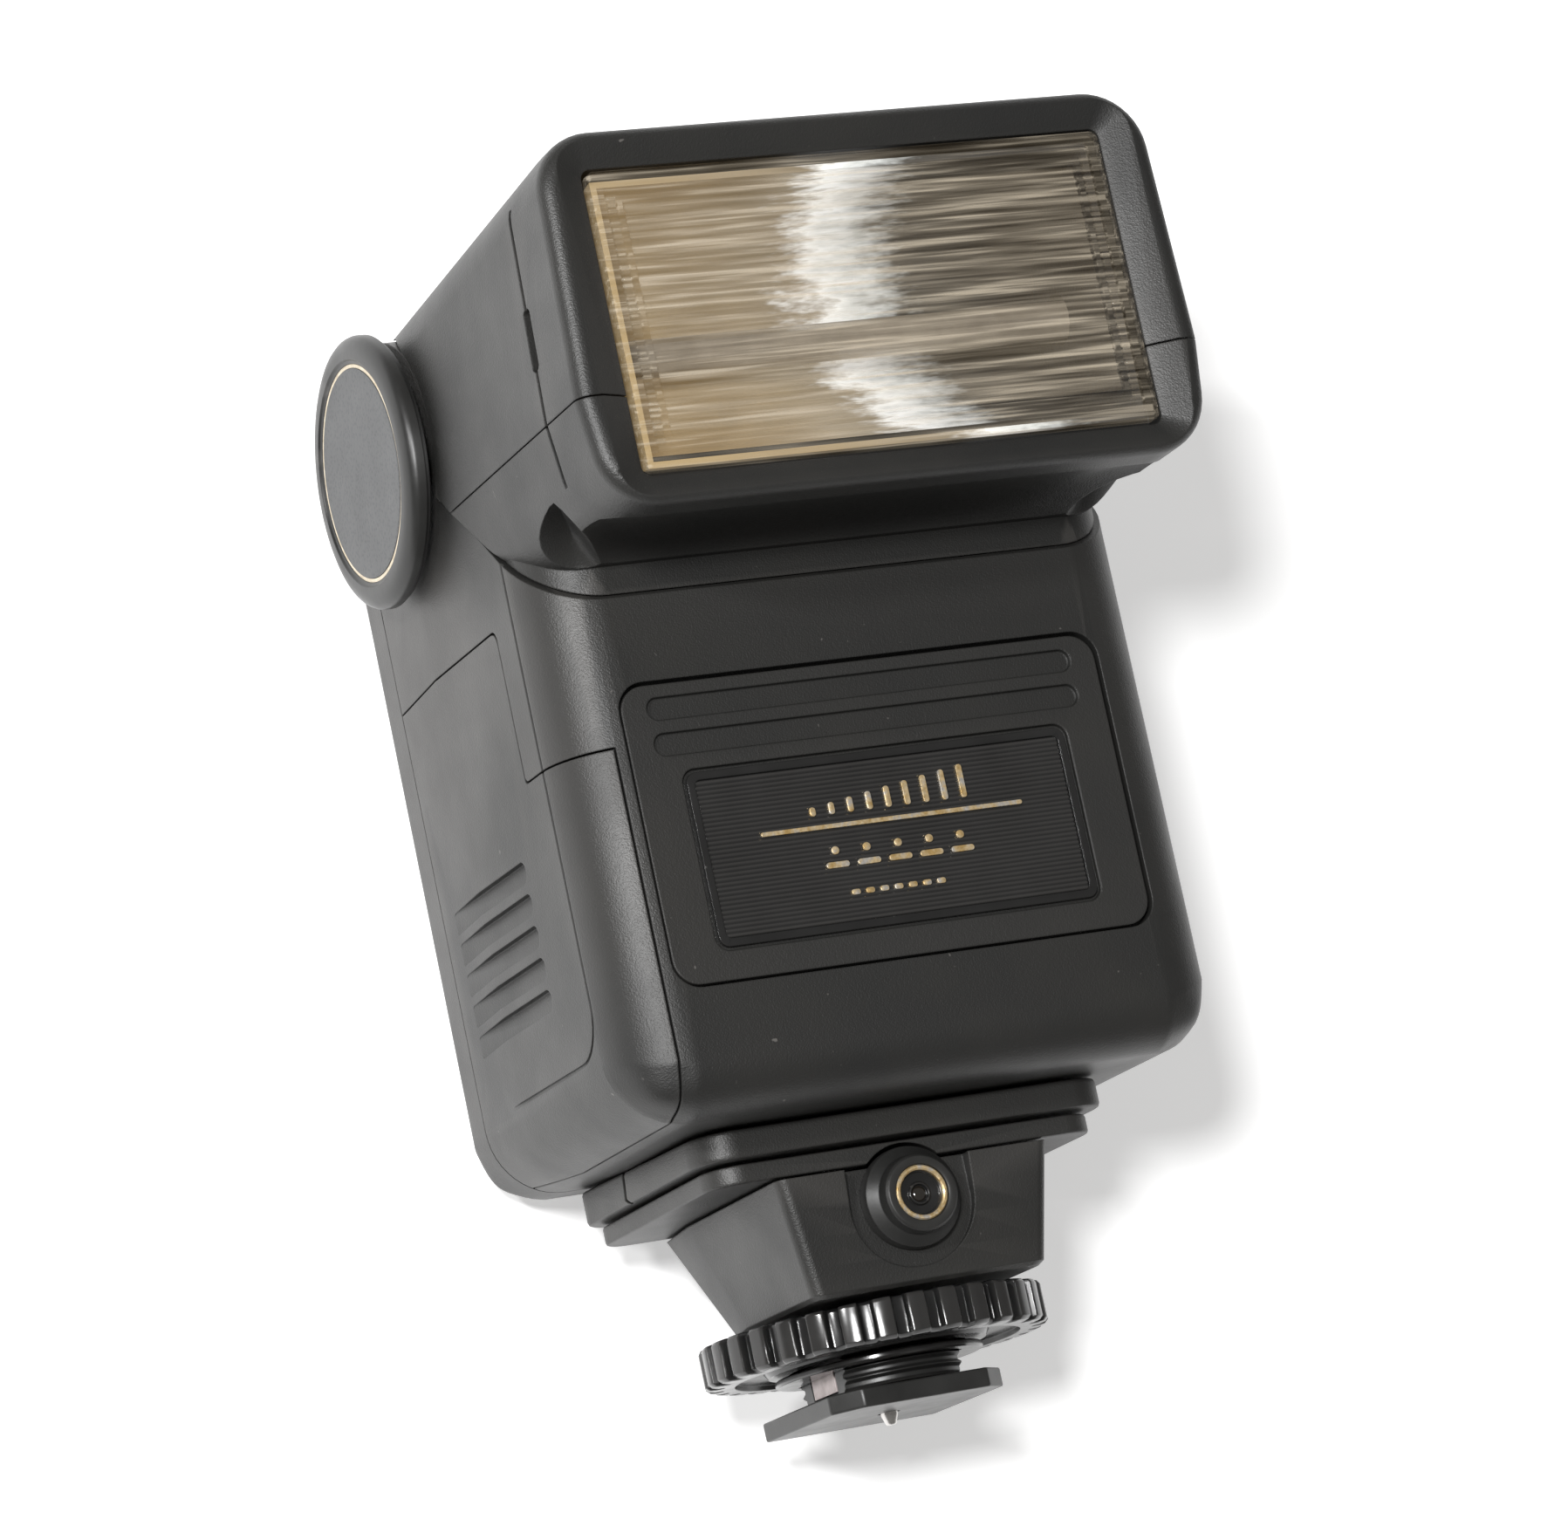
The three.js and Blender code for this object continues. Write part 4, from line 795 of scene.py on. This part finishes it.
def cove_tool():
    """The room under the bezel: a cove swept round the front of the neck, fading out along the sides."""
    side_x = HEAD_HALF["bottom"] + 3
    neck_x = HEAD_HALF["bottom"] - 0.05
    columns = []
    turn_steps, flat_steps, rise_steps = 16, 12, 14
    for i in range(turn_steps + 1):
        a = math.radians(90 * i / turn_steps)
        inner = Vector((-neck_x + CORNER_R * (1 - math.cos(a)), FRONT_Y + CORNER_R * (1 - math.sin(a)), 0))
        share = i / turn_steps
        outer_y = -24.0 - 22.5 * share ** 0.9
        lip = 79.0 + 5.0 * min(1, share * 2.6) - 4.0 * max(0, (share - 0.8) / 0.2)
        columns.append((inner, Vector((-side_x, outer_y, lip))))
    for i in range(1, flat_steps + 1):
        share = i / flat_steps
        inner = Vector((-(neck_x - CORNER_R) * (1 - share), FRONT_Y, 0))
        outer = Vector((-side_x * (1 - share), -46.5, BEZEL_BOTTOM))
        columns.append((inner, outer))
    mirrored = [tuple(Vector((-p.x, p.y, p.z)) for p in pair) for pair in reversed(columns[:-1])]
    columns += mirrored
    rings = []
    for inner, outer in columns:
        inner = Vector((inner.x, inner.y, SEAM_Z + 1.0))
        flat = Vector((outer.x - inner.x, outer.y - inner.y, 0))
        hump = min(1.0, flat.length / 17) ** 2
        top = max(inner.z, outer.z)
        control = [inner,
                   Vector((inner.x, inner.y, inner.z + (top + 2.4 - inner.z) * hump)) + flat * 0.02,
                   Vector((inner.x, inner.y, top + 3.2 * hump)) + flat * 0.5,
                   outer]
        ring = [bezier(control, k / rise_steps) for k in range(rise_steps + 1)]
        ring.append(Vector((outer.x, outer.y, 60)))
        ring.append(Vector((inner.x, inner.y, 60)))
        rings.append([tuple(p) for p in ring])
    return loft("cove", rings)


def head_solid():
    """The bezel block with the neck that drops from it to the body's front."""
    return join(head_block(), prism("neck", "z", neck_plan(), 74, 88))


def keep_shape(inset, x0, x1):
    """What the head may fill in the side view, drawn in by inset, as a solid from x0 to x1."""
    r = BARREL_R - inset
    hit = seam_hit(r, -(SEAM_LIFT + inset))
    angle = math.atan2(hit.y - PIVOT.z, hit.x) % math.tau
    front_z = hit.y + (FRONT_Y - hit.x) * math.tan(SLOPE)
    shape = [(FRONT_Y, front_z)] + arc_points(r, angle, math.pi * 2.5)
    if inset:
        shape += [(HEAD_FRONT + inset, 113.4), (HEAD_FRONT + inset, 86.2), (FRONT_Y - 3, 88)]
    else:
        shape += [(0, 140), (-60, 140), (-60, 70), (FRONT_Y, 70)]
    return prism("side_view", "x", shape, x0, x1)


def ear_room(side):
    """The room for one ear: its disc, everything behind the pivot and everything under the seam."""
    x0, x1 = sorted((side * (EAR_X - 0.25), side * 50))
    radius = EAR_R + 0.3
    hit = seam_hit(radius, -0.12)
    angle = math.atan2(hit.y - PIVOT.z, hit.x) % math.tau
    clear = SHOULDER_Z - PIVOT.z + 0.5
    shape = [(-61, hit.y + (-61 - hit.x) * math.tan(SLOPE))]
    shape += arc_points(radius, angle, math.pi / 2 + math.asin(clear / radius))
    shape += [(-clear, 141), (41, 141), (41, 1), (-61, 1)]
    return prism("ear_room", "x", shape, x0, x1)


def window_opening():
    """The flared hole in the bezel, from the front back, as (depth, growth past the window, radius)."""
    rings = []
    steps = [(-1.0, 3.4, 2.4), (0.0, 3.2, 2.4), (0.9, 1.2, 1.4), (1.4, 0.35, 1.0), (4.0, 0.3, 1.0)]
    for depth, grow, r in steps:
        shape = rectangle(WINDOW_LOW.x - grow, WINDOW_HIGH.x + grow,
                          WINDOW_LOW.z - grow, WINDOW_HIGH.z + grow, r)
        rings.append([(u, HEAD_FRONT + depth, v) for u, v in shape])
    return loft("window_opening", rings)


def head_shells():
    """The upper and lower head mouldings, cut from one hollow head."""
    head = head_solid()
    meet(head, keep_shape(0, -60, 60))
    for side in (-1, 1):
        cut(head, ear_room(side))
    cut(head,
        keep_shape(HEAD_WALL, -25.6, 25.6),
        block("front_room", -28.2, 28.2, HEAD_FRONT + 2.6, -23.5, 86.0, 113.2),
        prism("axle_bore", "x", circle(AXLE_BORE_R, 0, PIVOT.z), -60, 60))
    cut(head, window_opening())
    for side in (-1, 1):
        x0, x1 = sorted((side * 31.2, side * 40))
        deep0, deep1 = sorted((side * 30.6, side * 40))
        cut(head,
            block("side_groove", x0, x1, -42.45, -41.8, 85.2, 112.3),
            prism("side_notch", "x", rectangle(-43.0, -41.3, 96.6, 102.6, 0.6), deep0, deep1))
    upper = copy_of(head, "head_upper_shell")
    head.name = "head_lower_shell"
    cut(upper, block("lower_half", -60, 60, -60, 60, 0, PARTING_Z - 0.02))
    cut(head, block("upper_half", -60, 60, -60, 60, PARTING_Z - 0.2, 200), cove_tool())
    return upper, head


head_upper, head_lower = head_shells()
for side in (-1, 1):
    cut(head_lower,
        prism("screw_sink", "z", circle(2.5, side * 19, -4, 32), 60, 89.1),
        prism("screw_bore", "z", circle(1.5, side * 19, -4, 24), 60, 96))
piece(head_upper, "head", CASING, ["head_upper_shell"])
piece(head_lower, "head", CASING, ["head_lower_shell"])


# ------------------------------------------------------------------ window
def window_plate():
    """The clear window: a stepped border round a flat field."""
    low, high = WINDOW_LOW, WINDOW_HIGH
    steps = [(0.0, 0.35), (0.35, 0.05), (1.3, 0.05), (1.6, 0.4), (2.3, 0.4), (2.6, 0.15), (3.0, 0.15),
             (3.2, 0.5)]
    rings = []
    for inset, y in [(0.0, high.y)] + [(inset, low.y + depth) for inset, depth in steps]:
        shape = rectangle(low.x + inset, high.x - inset, low.z + inset, high.z - inset,
                          max(0.8 - inset * 0.2, 0.1), 4)
        rings.append([(u, y, v) for u, v in shape])
    return loft("flash_window", rings)


def window_ribs():
    """Fine horizontal ribs across the field, as one corrugated strip."""
    low, high = WINDOW_LOW.z + 3.3, WINDOW_HIGH.z - 3.3
    count = 44
    pitch = (high - low) / count
    face = WINDOW_LOW.y + 0.42
    shape = [(face + 0.25, low)]
    for i in range(count):
        z = low + i * pitch
        for k in range(4):
            a = math.pi * (k + 0.5) / 4
            shape.append((face - 0.12 * math.sin(a) + 0.1, z + pitch * (1 - math.cos(a)) / 2))
    shape.append((face + 0.25, high))
    return prism("window_ribs", "x", shape, WINDOW_LOW.x + 3.3, WINDOW_HIGH.x - 3.3)


def window_beads():
    """A column of small rounded beads down each side of the window."""
    count, margin = 40, 2.5
    pitch = (WINDOW_HIGH.z - WINDOW_LOW.z - 2 * margin) / count
    corners = [(-1, -1, 0), (1, -1, 0), (1, 1, 0), (-1, 1, 0),
               (-0.6, -0.5, 1), (0.6, -0.5, 1), (0.6, 0.5, 1), (-0.6, 0.5, 1)]
    quads = [(0, 1, 2, 3), (4, 5, 6, 7), (0, 1, 5, 4), (1, 2, 6, 5), (2, 3, 7, 6), (3, 0, 4, 7)]
    points, faces = [], []
    for side in (-1, 1):
        x = side * (WINDOW_HIGH.x - 1.95)
        for i in range(count):
            z = WINDOW_LOW.z + margin + (i + 0.5) * pitch
            base = len(points)
            for u, v, w in corners:
                points.append((x + u * 0.55, WINDOW_LOW.y + 0.42 - w * 0.3, z + v * pitch * 0.42))
            faces += [tuple(base + q for q in quad) for quad in quads]
    return round_edges(mesh_object("window_beads", points, faces), 0.08, 2)


piece(window_plate(), "head", LENS, ["flash_window"])
piece(window_ribs(), "head", LENS, angle=60)
piece(window_beads(), "head", LENS, angle=60)


# ------------------------------------------------------------------ pivot knobs
def knob_part(name, side, profile):
    """A round part of the knob, from (radius, distance out) on the right, mirrored for the left."""
    return turned(name, [(r, side * x) for r, x in profile], "x", (0, 0, PIVOT.z), 128)


def knob(side):
    """The flanged cap over a pivot, with its pale line, grey inlay and spigot."""
    hand = "left" if side < 0 else "right"
    base, face = CAP_HIGH.x - 2.6, CAP_HIGH.x
    r = (CAP_HIGH.z - CAP_LOW.z) / 2
    cap = knob_part(f"pivot_cap_{hand}", side, [
        (0, base), (r - 0.9, base), (r - 0.4, base + 0.25), (r - 0.4, base + 0.6), (r, base + 0.75),
        (r, face - 1.1), (r - 0.15, face - 0.7), (r - 0.5, face - 0.35), (r - 1.0, face - 0.12),
        (r - 1.6, face), (r - 2.3, face), (r - 2.45, face - 0.2), (r - 2.75, face - 0.3),
        (r - 2.85, face - 0.55), (0, face - 0.55)])
    piece(cap, "flash_body", SATIN, [f"pivot_cap_{hand}"])
    ring = knob_part(f"knob_ring_{hand}", side, [
        (10.45, face - 0.5), (10.8, face - 0.5), (10.8, face - 0.32), (10.62, face - 0.25),
        (10.45, face - 0.32)])
    piece(ring, "flash_body", CREAM)
    disc = knob_part(f"pivot_inlay_{hand}", side, [
        (0, face - 0.5), (10.4, face - 0.5), (10.4, face - 0.26), (10.2, face - 0.2), (0, face - 0.2)])
    piece(disc, "flash_body", INLAY, [f"pivot_inlay_{hand}"])
    x0, x1 = sorted((side * 27.5, side * (base + 0.1)))
    spigot = prism(f"knob_spigot_{hand}", "x", circle(1.9, 0, PIVOT.z, 32), x0, x1)
    piece(spigot, "flash_body", SATIN)


for side in (-1, 1):
    knob(side)


# ------------------------------------------------------------------ shoe bracket
def stacked_plate(name, low, high, r, edge, rise=0.0):
    """A plate with rounded corners and edges, whose top follows the body's rising bottom."""
    top = high.z - rise
    steps = [(edge, low.z), (edge * 0.3, low.z + edge * 0.3), (0, low.z + edge),
             (0, top - edge), (edge * 0.3, top - edge * 0.3), (edge, top)]
    rings = []
    for i, (inset, z) in enumerate(steps):
        climb = rise if i > 2 else 0
        shape = rectangle(low.x + inset, high.x - inset, low.y + inset, high.y - inset, r - inset, 10)
        rings.append([(u, v, z + climb * max(0, v) / high.y) for u, v in shape])
    return loft(name, rings)


flange_rise = FLANGE_HIGH.z - 27.3
flange = stacked_plate("base_flange", FLANGE_LOW, FLANGE_HIGH, 4, 0.45, flange_rise)
crack = [(-0.5, 23), (1.7, 25.0), (1.3, 26.8), (1.1, 29), (1.6, 29), (1.9, 26.9), (2.3, 25.0), (0.3, 23)]
for side in (-1, 1):
    x0, x1 = sorted((side * 21.4, side * 30))
    cut(flange, prism("flange_step", "x", crack, x0, x1))
cut(flange, block("cable_hole", -10, 10, -10, 10, 20, 32))
piece(flange, "flash_body", CASING, ["base_flange"])

SENSOR_X = (BEZEL_LOW.x + BEZEL_HIGH.x) / 2
SENSOR_Z = (BEZEL_LOW.z + BEZEL_HIGH.z) / 2
module = stacked_plate("module_plate", MODULE_LOW, MODULE_HIGH, 3.5, 0.3)
cut(module,
    block("cable_hole", -9, 9, -9, 9, 20, 32),
    prism("sensor_room", "y", circle(5.4, SENSOR_X, SENSOR_Z), -30, -10))
piece(module, "flash_body", CASING, ["module_plate"])


def neck_ring(z, inset):
    """The neck block's outline at height z: it narrows and its back slopes in towards the ring."""
    k = (NECK_HIGH.z - z) / (NECK_HIGH.z - NECK_LOW.z)
    half = NECK_HIGH.x - 2.1 * k - inset
    front = -18 + 1.6 * k + inset
    back = 16 - 8.4 * k - inset
    crease = 6 - 5 * k
    shape = outline([(-half, front, 1.2), (half, front, 1.2), (half, crease, 0), (half - 1.5, back, 1.0),
                     (-half + 1.5, back, 1.0), (-half, crease, 0)], 6)
    return [(u, v, z) for u, v in shape]


def neck_block():
    """The tapered block with an arched recess for the sensor eye."""
    neck = loft("neck_block", [neck_ring(NECK_LOW.z, 0.4), neck_ring(NECK_LOW.z + 0.4, 0)]
                + [neck_ring(NECK_LOW.z + (NECK_HIGH.z - NECK_LOW.z) * i / 4, 0) for i in range(1, 5)])
    room = loft("neck_room", [neck_ring(z, 2.2) for z in (NECK_LOW.z + 2, 19, 21, 23)])
    w = 6.6
    arch = outline([(SENSOR_X - w, SENSOR_Z - w, w - 0.2), (SENSOR_X + w, SENSOR_Z - w, w - 0.2),
                    (SENSOR_X + w, 30, 0), (SENSOR_X - w, 30, 0)], 20)
    return cut(neck, room,
               prism("arch", "y", arch, -30, -16.5),
               prism("sensor_hole", "y", circle(3.4, SENSOR_X, SENSOR_Z, 48), -30, -5),
               prism("pin_hole", "z", circle(2.2, 0, 0, 32), 5, 20),
               prism("screw_hole_front", "z", circle(1.5, 0, -5, 24), 5, 20),
               prism("screw_hole_back", "z", circle(1.5, 0, 5, 24), 5, 20))


piece(neck_block(), "flash_body", CASING, ["neck_block"])


def sensor_part(name, profile, sides=96):
    """A round part of the sensor eye, from (radius, depth behind its front)."""
    return turned(name, [(r, BEZEL_LOW.y + y) for r, y in profile], "y", (SENSOR_X, 0, SENSOR_Z), sides)


def sensor_eye():
    """The light sensor: a stepped black barrel, a thin gold ring and a dark lens with a small aperture."""
    barrel = sensor_part("sensor_bezel", [
        (2.7, 0.5), (2.75, 0.1), (3.0, 0), (3.5, 0.05), (3.75, 0.3), (3.9, 1.6), (4.3, 1.9), (4.9, 2.4),
        (5.0, 2.8), (5.0, 3.6), (3.1, 3.6), (3.1, 7), (2.7, 7)])
    piece(barrel, "flash_body", SATIN, ["sensor_bezel"])
    ring = sensor_part("sensor_ring", [
        (2.2, 0.6), (2.2, 0.25), (2.35, 0.12), (2.55, 0.12), (2.68, 0.25), (2.68, 0.6)])
    piece(ring, "flash_body", GOLD, ["sensor_ring"])
    cell = sensor_part("sensor_cell", [
        (0, 6), (2.65, 6), (2.65, 0.62), (2.1, 0.62), (2.0, 0.75), (1.2, 0.95), (1.05, 0.7), (0.9, 0.7),
        (0.8, 1.0), (0, 1.1)], 72)
    piece(cell, "flash_body", GLOSS, ["sensor_cell"])
    bead = sensor_part("sensor_lens", [(0, 1.05), (0.75, 0.98), (0.6, 0.86), (0.35, 0.78), (0, 0.75)], 48)
    piece(bead, "flash_body", DARK_GLASS)


sensor_eye()


# ------------------------------------------------------------------ locking ring, stud and foot
def toothed(grow):
    """The locking ring's outline: 32 flat-topped teeth between narrow gaps."""
    teeth = 32
    top, root = RING_HIGH.x, RING_HIGH.x - 1.0
    tooth = [(0.03, top - 0.12), (0.08, top), (0.30, top), (0.52, top), (0.57, top - 0.12),
             (0.63, root + 0.1), (0.68, root), (0.92, root), (0.97, root + 0.1)]
    shape = []
    for i in range(teeth):
        for k, r in tooth:
            a = math.tau * (i + k) / teeth
            shape.append(((r + grow) * math.cos(a), (r + grow) * math.sin(a)))
    return shape


def locking_ring():
    """A hand ring, chamfered above and below and dished underneath."""
    low, high = RING_LOW.z, RING_HIGH.z
    steps = [(-0.9, low), (-0.35, low + 0.12), (0, low + 0.45), (0, high - 0.45), (-0.25, high - 0.1),
             (-0.8, high)]
    ring = loft("locking_ring", [[(u, v, z) for u, v in toothed(grow)] for grow, z in steps])
    dish = turned("dish", [(0, 4.0), (14.6, 4.0), (14.2, low + 0.5), (11.3, low + 0.7), (10.9, low + 0.1),
                           (8.9, low + 0.1), (8.9, 12.0), (0, 12.0)], "z")
    return cut(ring, dish)


piece(locking_ring(), "locking_ring", GLOSS, ["locking_ring"], angle=40)

def lock_washer():
    """A thin washer with a hole that fits over the stud and its flats."""
    r, low, high = WASHER_HIGH.x, WASHER_LOW.z, WASHER_HIGH.z
    washer = turned("lock_washer", [(5.6, low), (r - 0.25, low), (r, low + 0.2), (r, high - 0.15),
                                    (r - 0.2, high), (5.6, high)], "z")
    flats = prism("flats", "z", [(-6.45, -20), (6.45, -20), (6.45, 20), (-6.45, 20)], 0, 20)
    return cut(washer, meet(prism("stud_room", "z", circle(8.65, 0, 0, 96), 0, 20), flats))


piece(lock_washer(), "lock_washer", GLOSS, ["lock_washer"])


def threaded_stud():
    """A stud with a fine thread of 1 mm pitch, cut by two flats."""
    r = STEM_HIGH.y
    profile = [(1.9, STEM_LOW.z), (r - 0.8, STEM_LOW.z), (r - 0.5, STEM_LOW.z + 0.3)]
    z = STEM_LOW.z + 0.7
    while z < STEM_HIGH.z - 0.5:
        profile += [(r - 0.5, z), (r - 0.02, z + 0.3), (r - 0.02, z + 0.4), (r - 0.5, z + 0.7)]
        z += 1.0
    profile += [(r - 0.6, STEM_HIGH.z), (1.9, STEM_HIGH.z)]
    stud = turned("foot_stem", profile, "z")
    x = STEM_HIGH.x
    sides = block("sides", -x, x, -20, 20, 0, 20)
    bed = block("contact_bed", -10, -x + 0.5, -3.1, 3.1, 2.35, 5.1)
    holes = [prism("screw_hole", "z", circle(1.4, 0, y, 24), 5, 20) for y in (-5, 5)]
    return cut(meet(stud, sides), bed, *holes)


piece(threaded_stud(), "flash_body", SATIN, ["foot_stem"])
contact = block("ground_contact", -STEM_HIGH.x - 0.05, -STEM_HIGH.x + 0.2, -2.8, 2.8, 2.6, 4.8)
piece(round_edges(contact, 0.06, 2), "flash_body", GROUND, ["ground_contact"])


def foot_plate():
    """The plate that slides into a shoe, with its front corners cut off."""
    x, y0, y1 = FOOT_HIGH.x, FOOT_LOW.y, FOOT_HIGH.y
    cut_off = 2.6
    shape = outline([(-x + cut_off, y0, 0.5), (x - cut_off, y0, 0.5), (x, y0 + cut_off, 0.5), (x, y1, 0.4),
                     (-x, y1, 0.4), (-x, y0 + cut_off, 0.5)], 4)
    plate = round_edges(prism("foot_plate", "z", shape, FOOT_LOW.z, FOOT_HIGH.z), 0.22, 3, 50)
    return cut(plate, prism("pin_bore", "z", circle(1.15, 0, 0, 32), -2, 5))


piece(foot_plate(), "flash_body", SATIN, ["foot_plate"])

tip, top = PIN_LOW.z, PIN_HIGH.z
pin = turned("contact_pin", [(0, tip), (0.42, tip), (0.55, tip + 0.12), (0.85, tip + 1.0), (0.85, 2.5),
                             (1.45, 2.5), (1.55, 2.6), (1.55, 3.0), (1.45, 3.1), (0.6, 3.1), (0.6, top),
                             (0, top)], "z", sides=40)
piece(pin, "contact_pin", STEEL, ["contact_pin"])


# ------------------------------------------------------------------ back of the body
def dial_numbers():
    """Film-speed numbers round the calculator dial."""
    centre = Vector((0, 0, (DIAL_LOW.z + DIAL_HIGH.z) / 2))
    r = DIAL_HIGH.x - 3.1
    for i, number in enumerate((25, 50, 64, 100, 125, 200, 400, 800)):
        a = math.tau * i / 8 + math.pi / 2
        text = bpy.data.curves.new(f"dial_number_{number}", "FONT")
        text.body = str(number)
        text.size = 2.4 * MM
        text.extrude = 0.04 * MM
        text.align_x = "CENTER"
        text.align_y = "CENTER"
        label = bpy.data.objects.new(text.name, text)
        scene.collection.objects.link(label)
        place = centre + Vector((-math.cos(a) * r, DIAL_HIGH.y + 0.03, math.sin(a) * r))
        upright = Matrix.Rotation(math.pi, 4, "Z") @ Matrix.Rotation(math.pi / 2, 4, "X")
        label.matrix_world = Matrix.Translation(place * MM) @ upright @ Matrix.Rotation(a - math.pi / 2, 4, "Z")
        graph = bpy.context.evaluated_depsgraph_get()
        mesh = bpy.data.meshes.new_from_object(label.evaluated_get(graph))
        flat = bpy.data.objects.new(f"dial_number_{number}", mesh)
        flat.matrix_world = label.matrix_world
        scene.collection.objects.link(flat)
        bpy.data.objects.remove(label)
        flat.data.materials.clear()
        flat.data.materials.append(WHITE_PRINT)
        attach(flat, "calculator_dial")


dial_numbers()

RUBBER = plain_grain("holder_rubber", (0.008, 0.008, 0.008), (0.015, 0.015, 0.015), 1, 0.75)
NODE_FINISHES = {
    "calculator_plate": INLAY,
    "calculator_dial": SATIN,
    "dial_hub": STEEL,
    "ready_lamp": AMBER,
    "test_button": GLOSS,
    "power_switch": GLOSS,
    "mode_selector": GLOSS,
    # The reflector's finish carries painted reflections and a painted glow.
    "flash_reflector": PAINTED_REFLECTOR,
    "flash_tube": glass("tube_glass", (0.22, 0.19, 0.15)),
    "circuit_board": plain_grain("green_board", (0.02, 0.09, 0.03), (0.04, 0.15, 0.05), 2, 0.5),
    "main_capacitor": plain_grain("capacitor_sleeve", (0.01, 0.02, 0.05), (0.02, 0.04, 0.08), 3, 0.35),
    "transformer_winding": steel("copper_winding", (0.55, 0.27, 0.12), 0.35),
    "trigger_coil": steel("copper_coil", (0.55, 0.27, 0.12), 0.35),
    "tube_holder_left": RUBBER,
    "tube_holder_right": RUBBER,
    "battery_tray": SATIN,
}

for name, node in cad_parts.items():
    if node.hide_render:
        continue
    node.data.materials.clear()
    node.data.materials.append(NODE_FINISHES.get(name, STEEL))


# ------------------------------------------------------------------ stage, light and camera
def paper():
    """A large white sheet just behind the object, seen only from its front."""
    size = 3000
    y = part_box("calculator_dial")[1].y / MM + 1.2
    corners = [(-size, y, -size), (size, y, -size), (size, y, size), (-size, y, size)]
    sheet = mesh_object("paper", corners, [(0, 1, 2, 3)])
    m = Nodes("paper")
    m.link(m.ramp(m.noise(60, 2), [(0.3, 0.90), (0.7, 0.93)]), m.shader.inputs["Base Color"])
    m.set(Roughness=0.9, Specular_IOR_Level=0.1, Emission_Color=(1, 1, 1, 1), Emission_Strength=0.45)
    clear = m.tree.nodes.new("ShaderNodeBsdfTransparent")
    choose = m.tree.nodes.new("ShaderNodeMixShader")
    facing = m.tree.nodes.new("ShaderNodeNewGeometry").outputs["Backfacing"]
    m.link(facing, choose.inputs[0])
    m.link(m.shader.outputs[0], choose.inputs[1])
    m.link(clear.outputs[0], choose.inputs[2])
    m.link(choose.outputs[0], m.tree.nodes["Material Output"].inputs["Surface"])
    sheet.data.materials.append(m.material)
    for polygon in sheet.data.polygons:
        if polygon.normal.y > 0:
            polygon.flip()


def area_light(name, direction, distance, size, power):
    data = bpy.data.lights.new(name, "AREA")
    data.shape = "DISK"
    data.size = size
    data.energy = power
    lamp = bpy.data.objects.new(name, data)
    scene.collection.objects.link(lamp)
    target = Vector((0, 0, 70 * MM))
    away = Vector(direction).normalized()
    lamp.location = target + away * distance
    lamp.rotation_euler = (-away).to_track_quat("-Z", "Y").to_euler()


def surroundings():
    world = bpy.data.worlds.new("room")
    scene.world = world
    world.use_nodes = True
    tree = world.node_tree
    back = tree.nodes["Background"]
    pale = tree.nodes.new("ShaderNodeBackground")
    pale.inputs["Color"].default_value = (1, 1, 1, 1)
    back.inputs["Color"].default_value = (1, 0.98, 0.95, 1)
    back.inputs["Strength"].default_value = 0.22
    choose = tree.nodes.new("ShaderNodeMixShader")
    path = tree.nodes.new("ShaderNodeLightPath")
    tree.links.new(path.outputs["Is Camera Ray"], choose.inputs[0])
    tree.links.new(back.outputs[0], choose.inputs[1])
    tree.links.new(pale.outputs[0], choose.inputs[2])
    tree.links.new(choose.outputs[0], tree.nodes["World Output"].inputs["Surface"])


def camera():
    data = bpy.data.cameras.new("camera")
    obj = bpy.data.objects.new("camera", data)
    scene.collection.objects.link(obj)
    forward = Vector((0.4006, 0.8964, 0.1863)).normalized()
    right = forward.cross(Vector((0.1139, -0.2508, 0.9613))).normalized()
    up = right.cross(forward)
    pose = Matrix((right, up, -forward)).transposed().to_4x4()
    pose.translation = Vector((-0.2470, -0.5513, -0.0497))
    obj.matrix_world = pose
    data.sensor_width = 36
    data.lens = 141.4
    data.shift_x = 0.0224
    data.shift_y = 0.0085
    data.clip_start = 0.02
    data.clip_end = 20
    scene.camera = obj


paper()
surroundings()
area_light("window_light", (-0.71, -0.68, 0.2), 0.75, 0.06, 2.2)
area_light("front_fill", (-0.46, -0.87, 0.02), 0.75, 0.10, 5.0)
camera()
scene.view_settings.view_transform = "Standard"
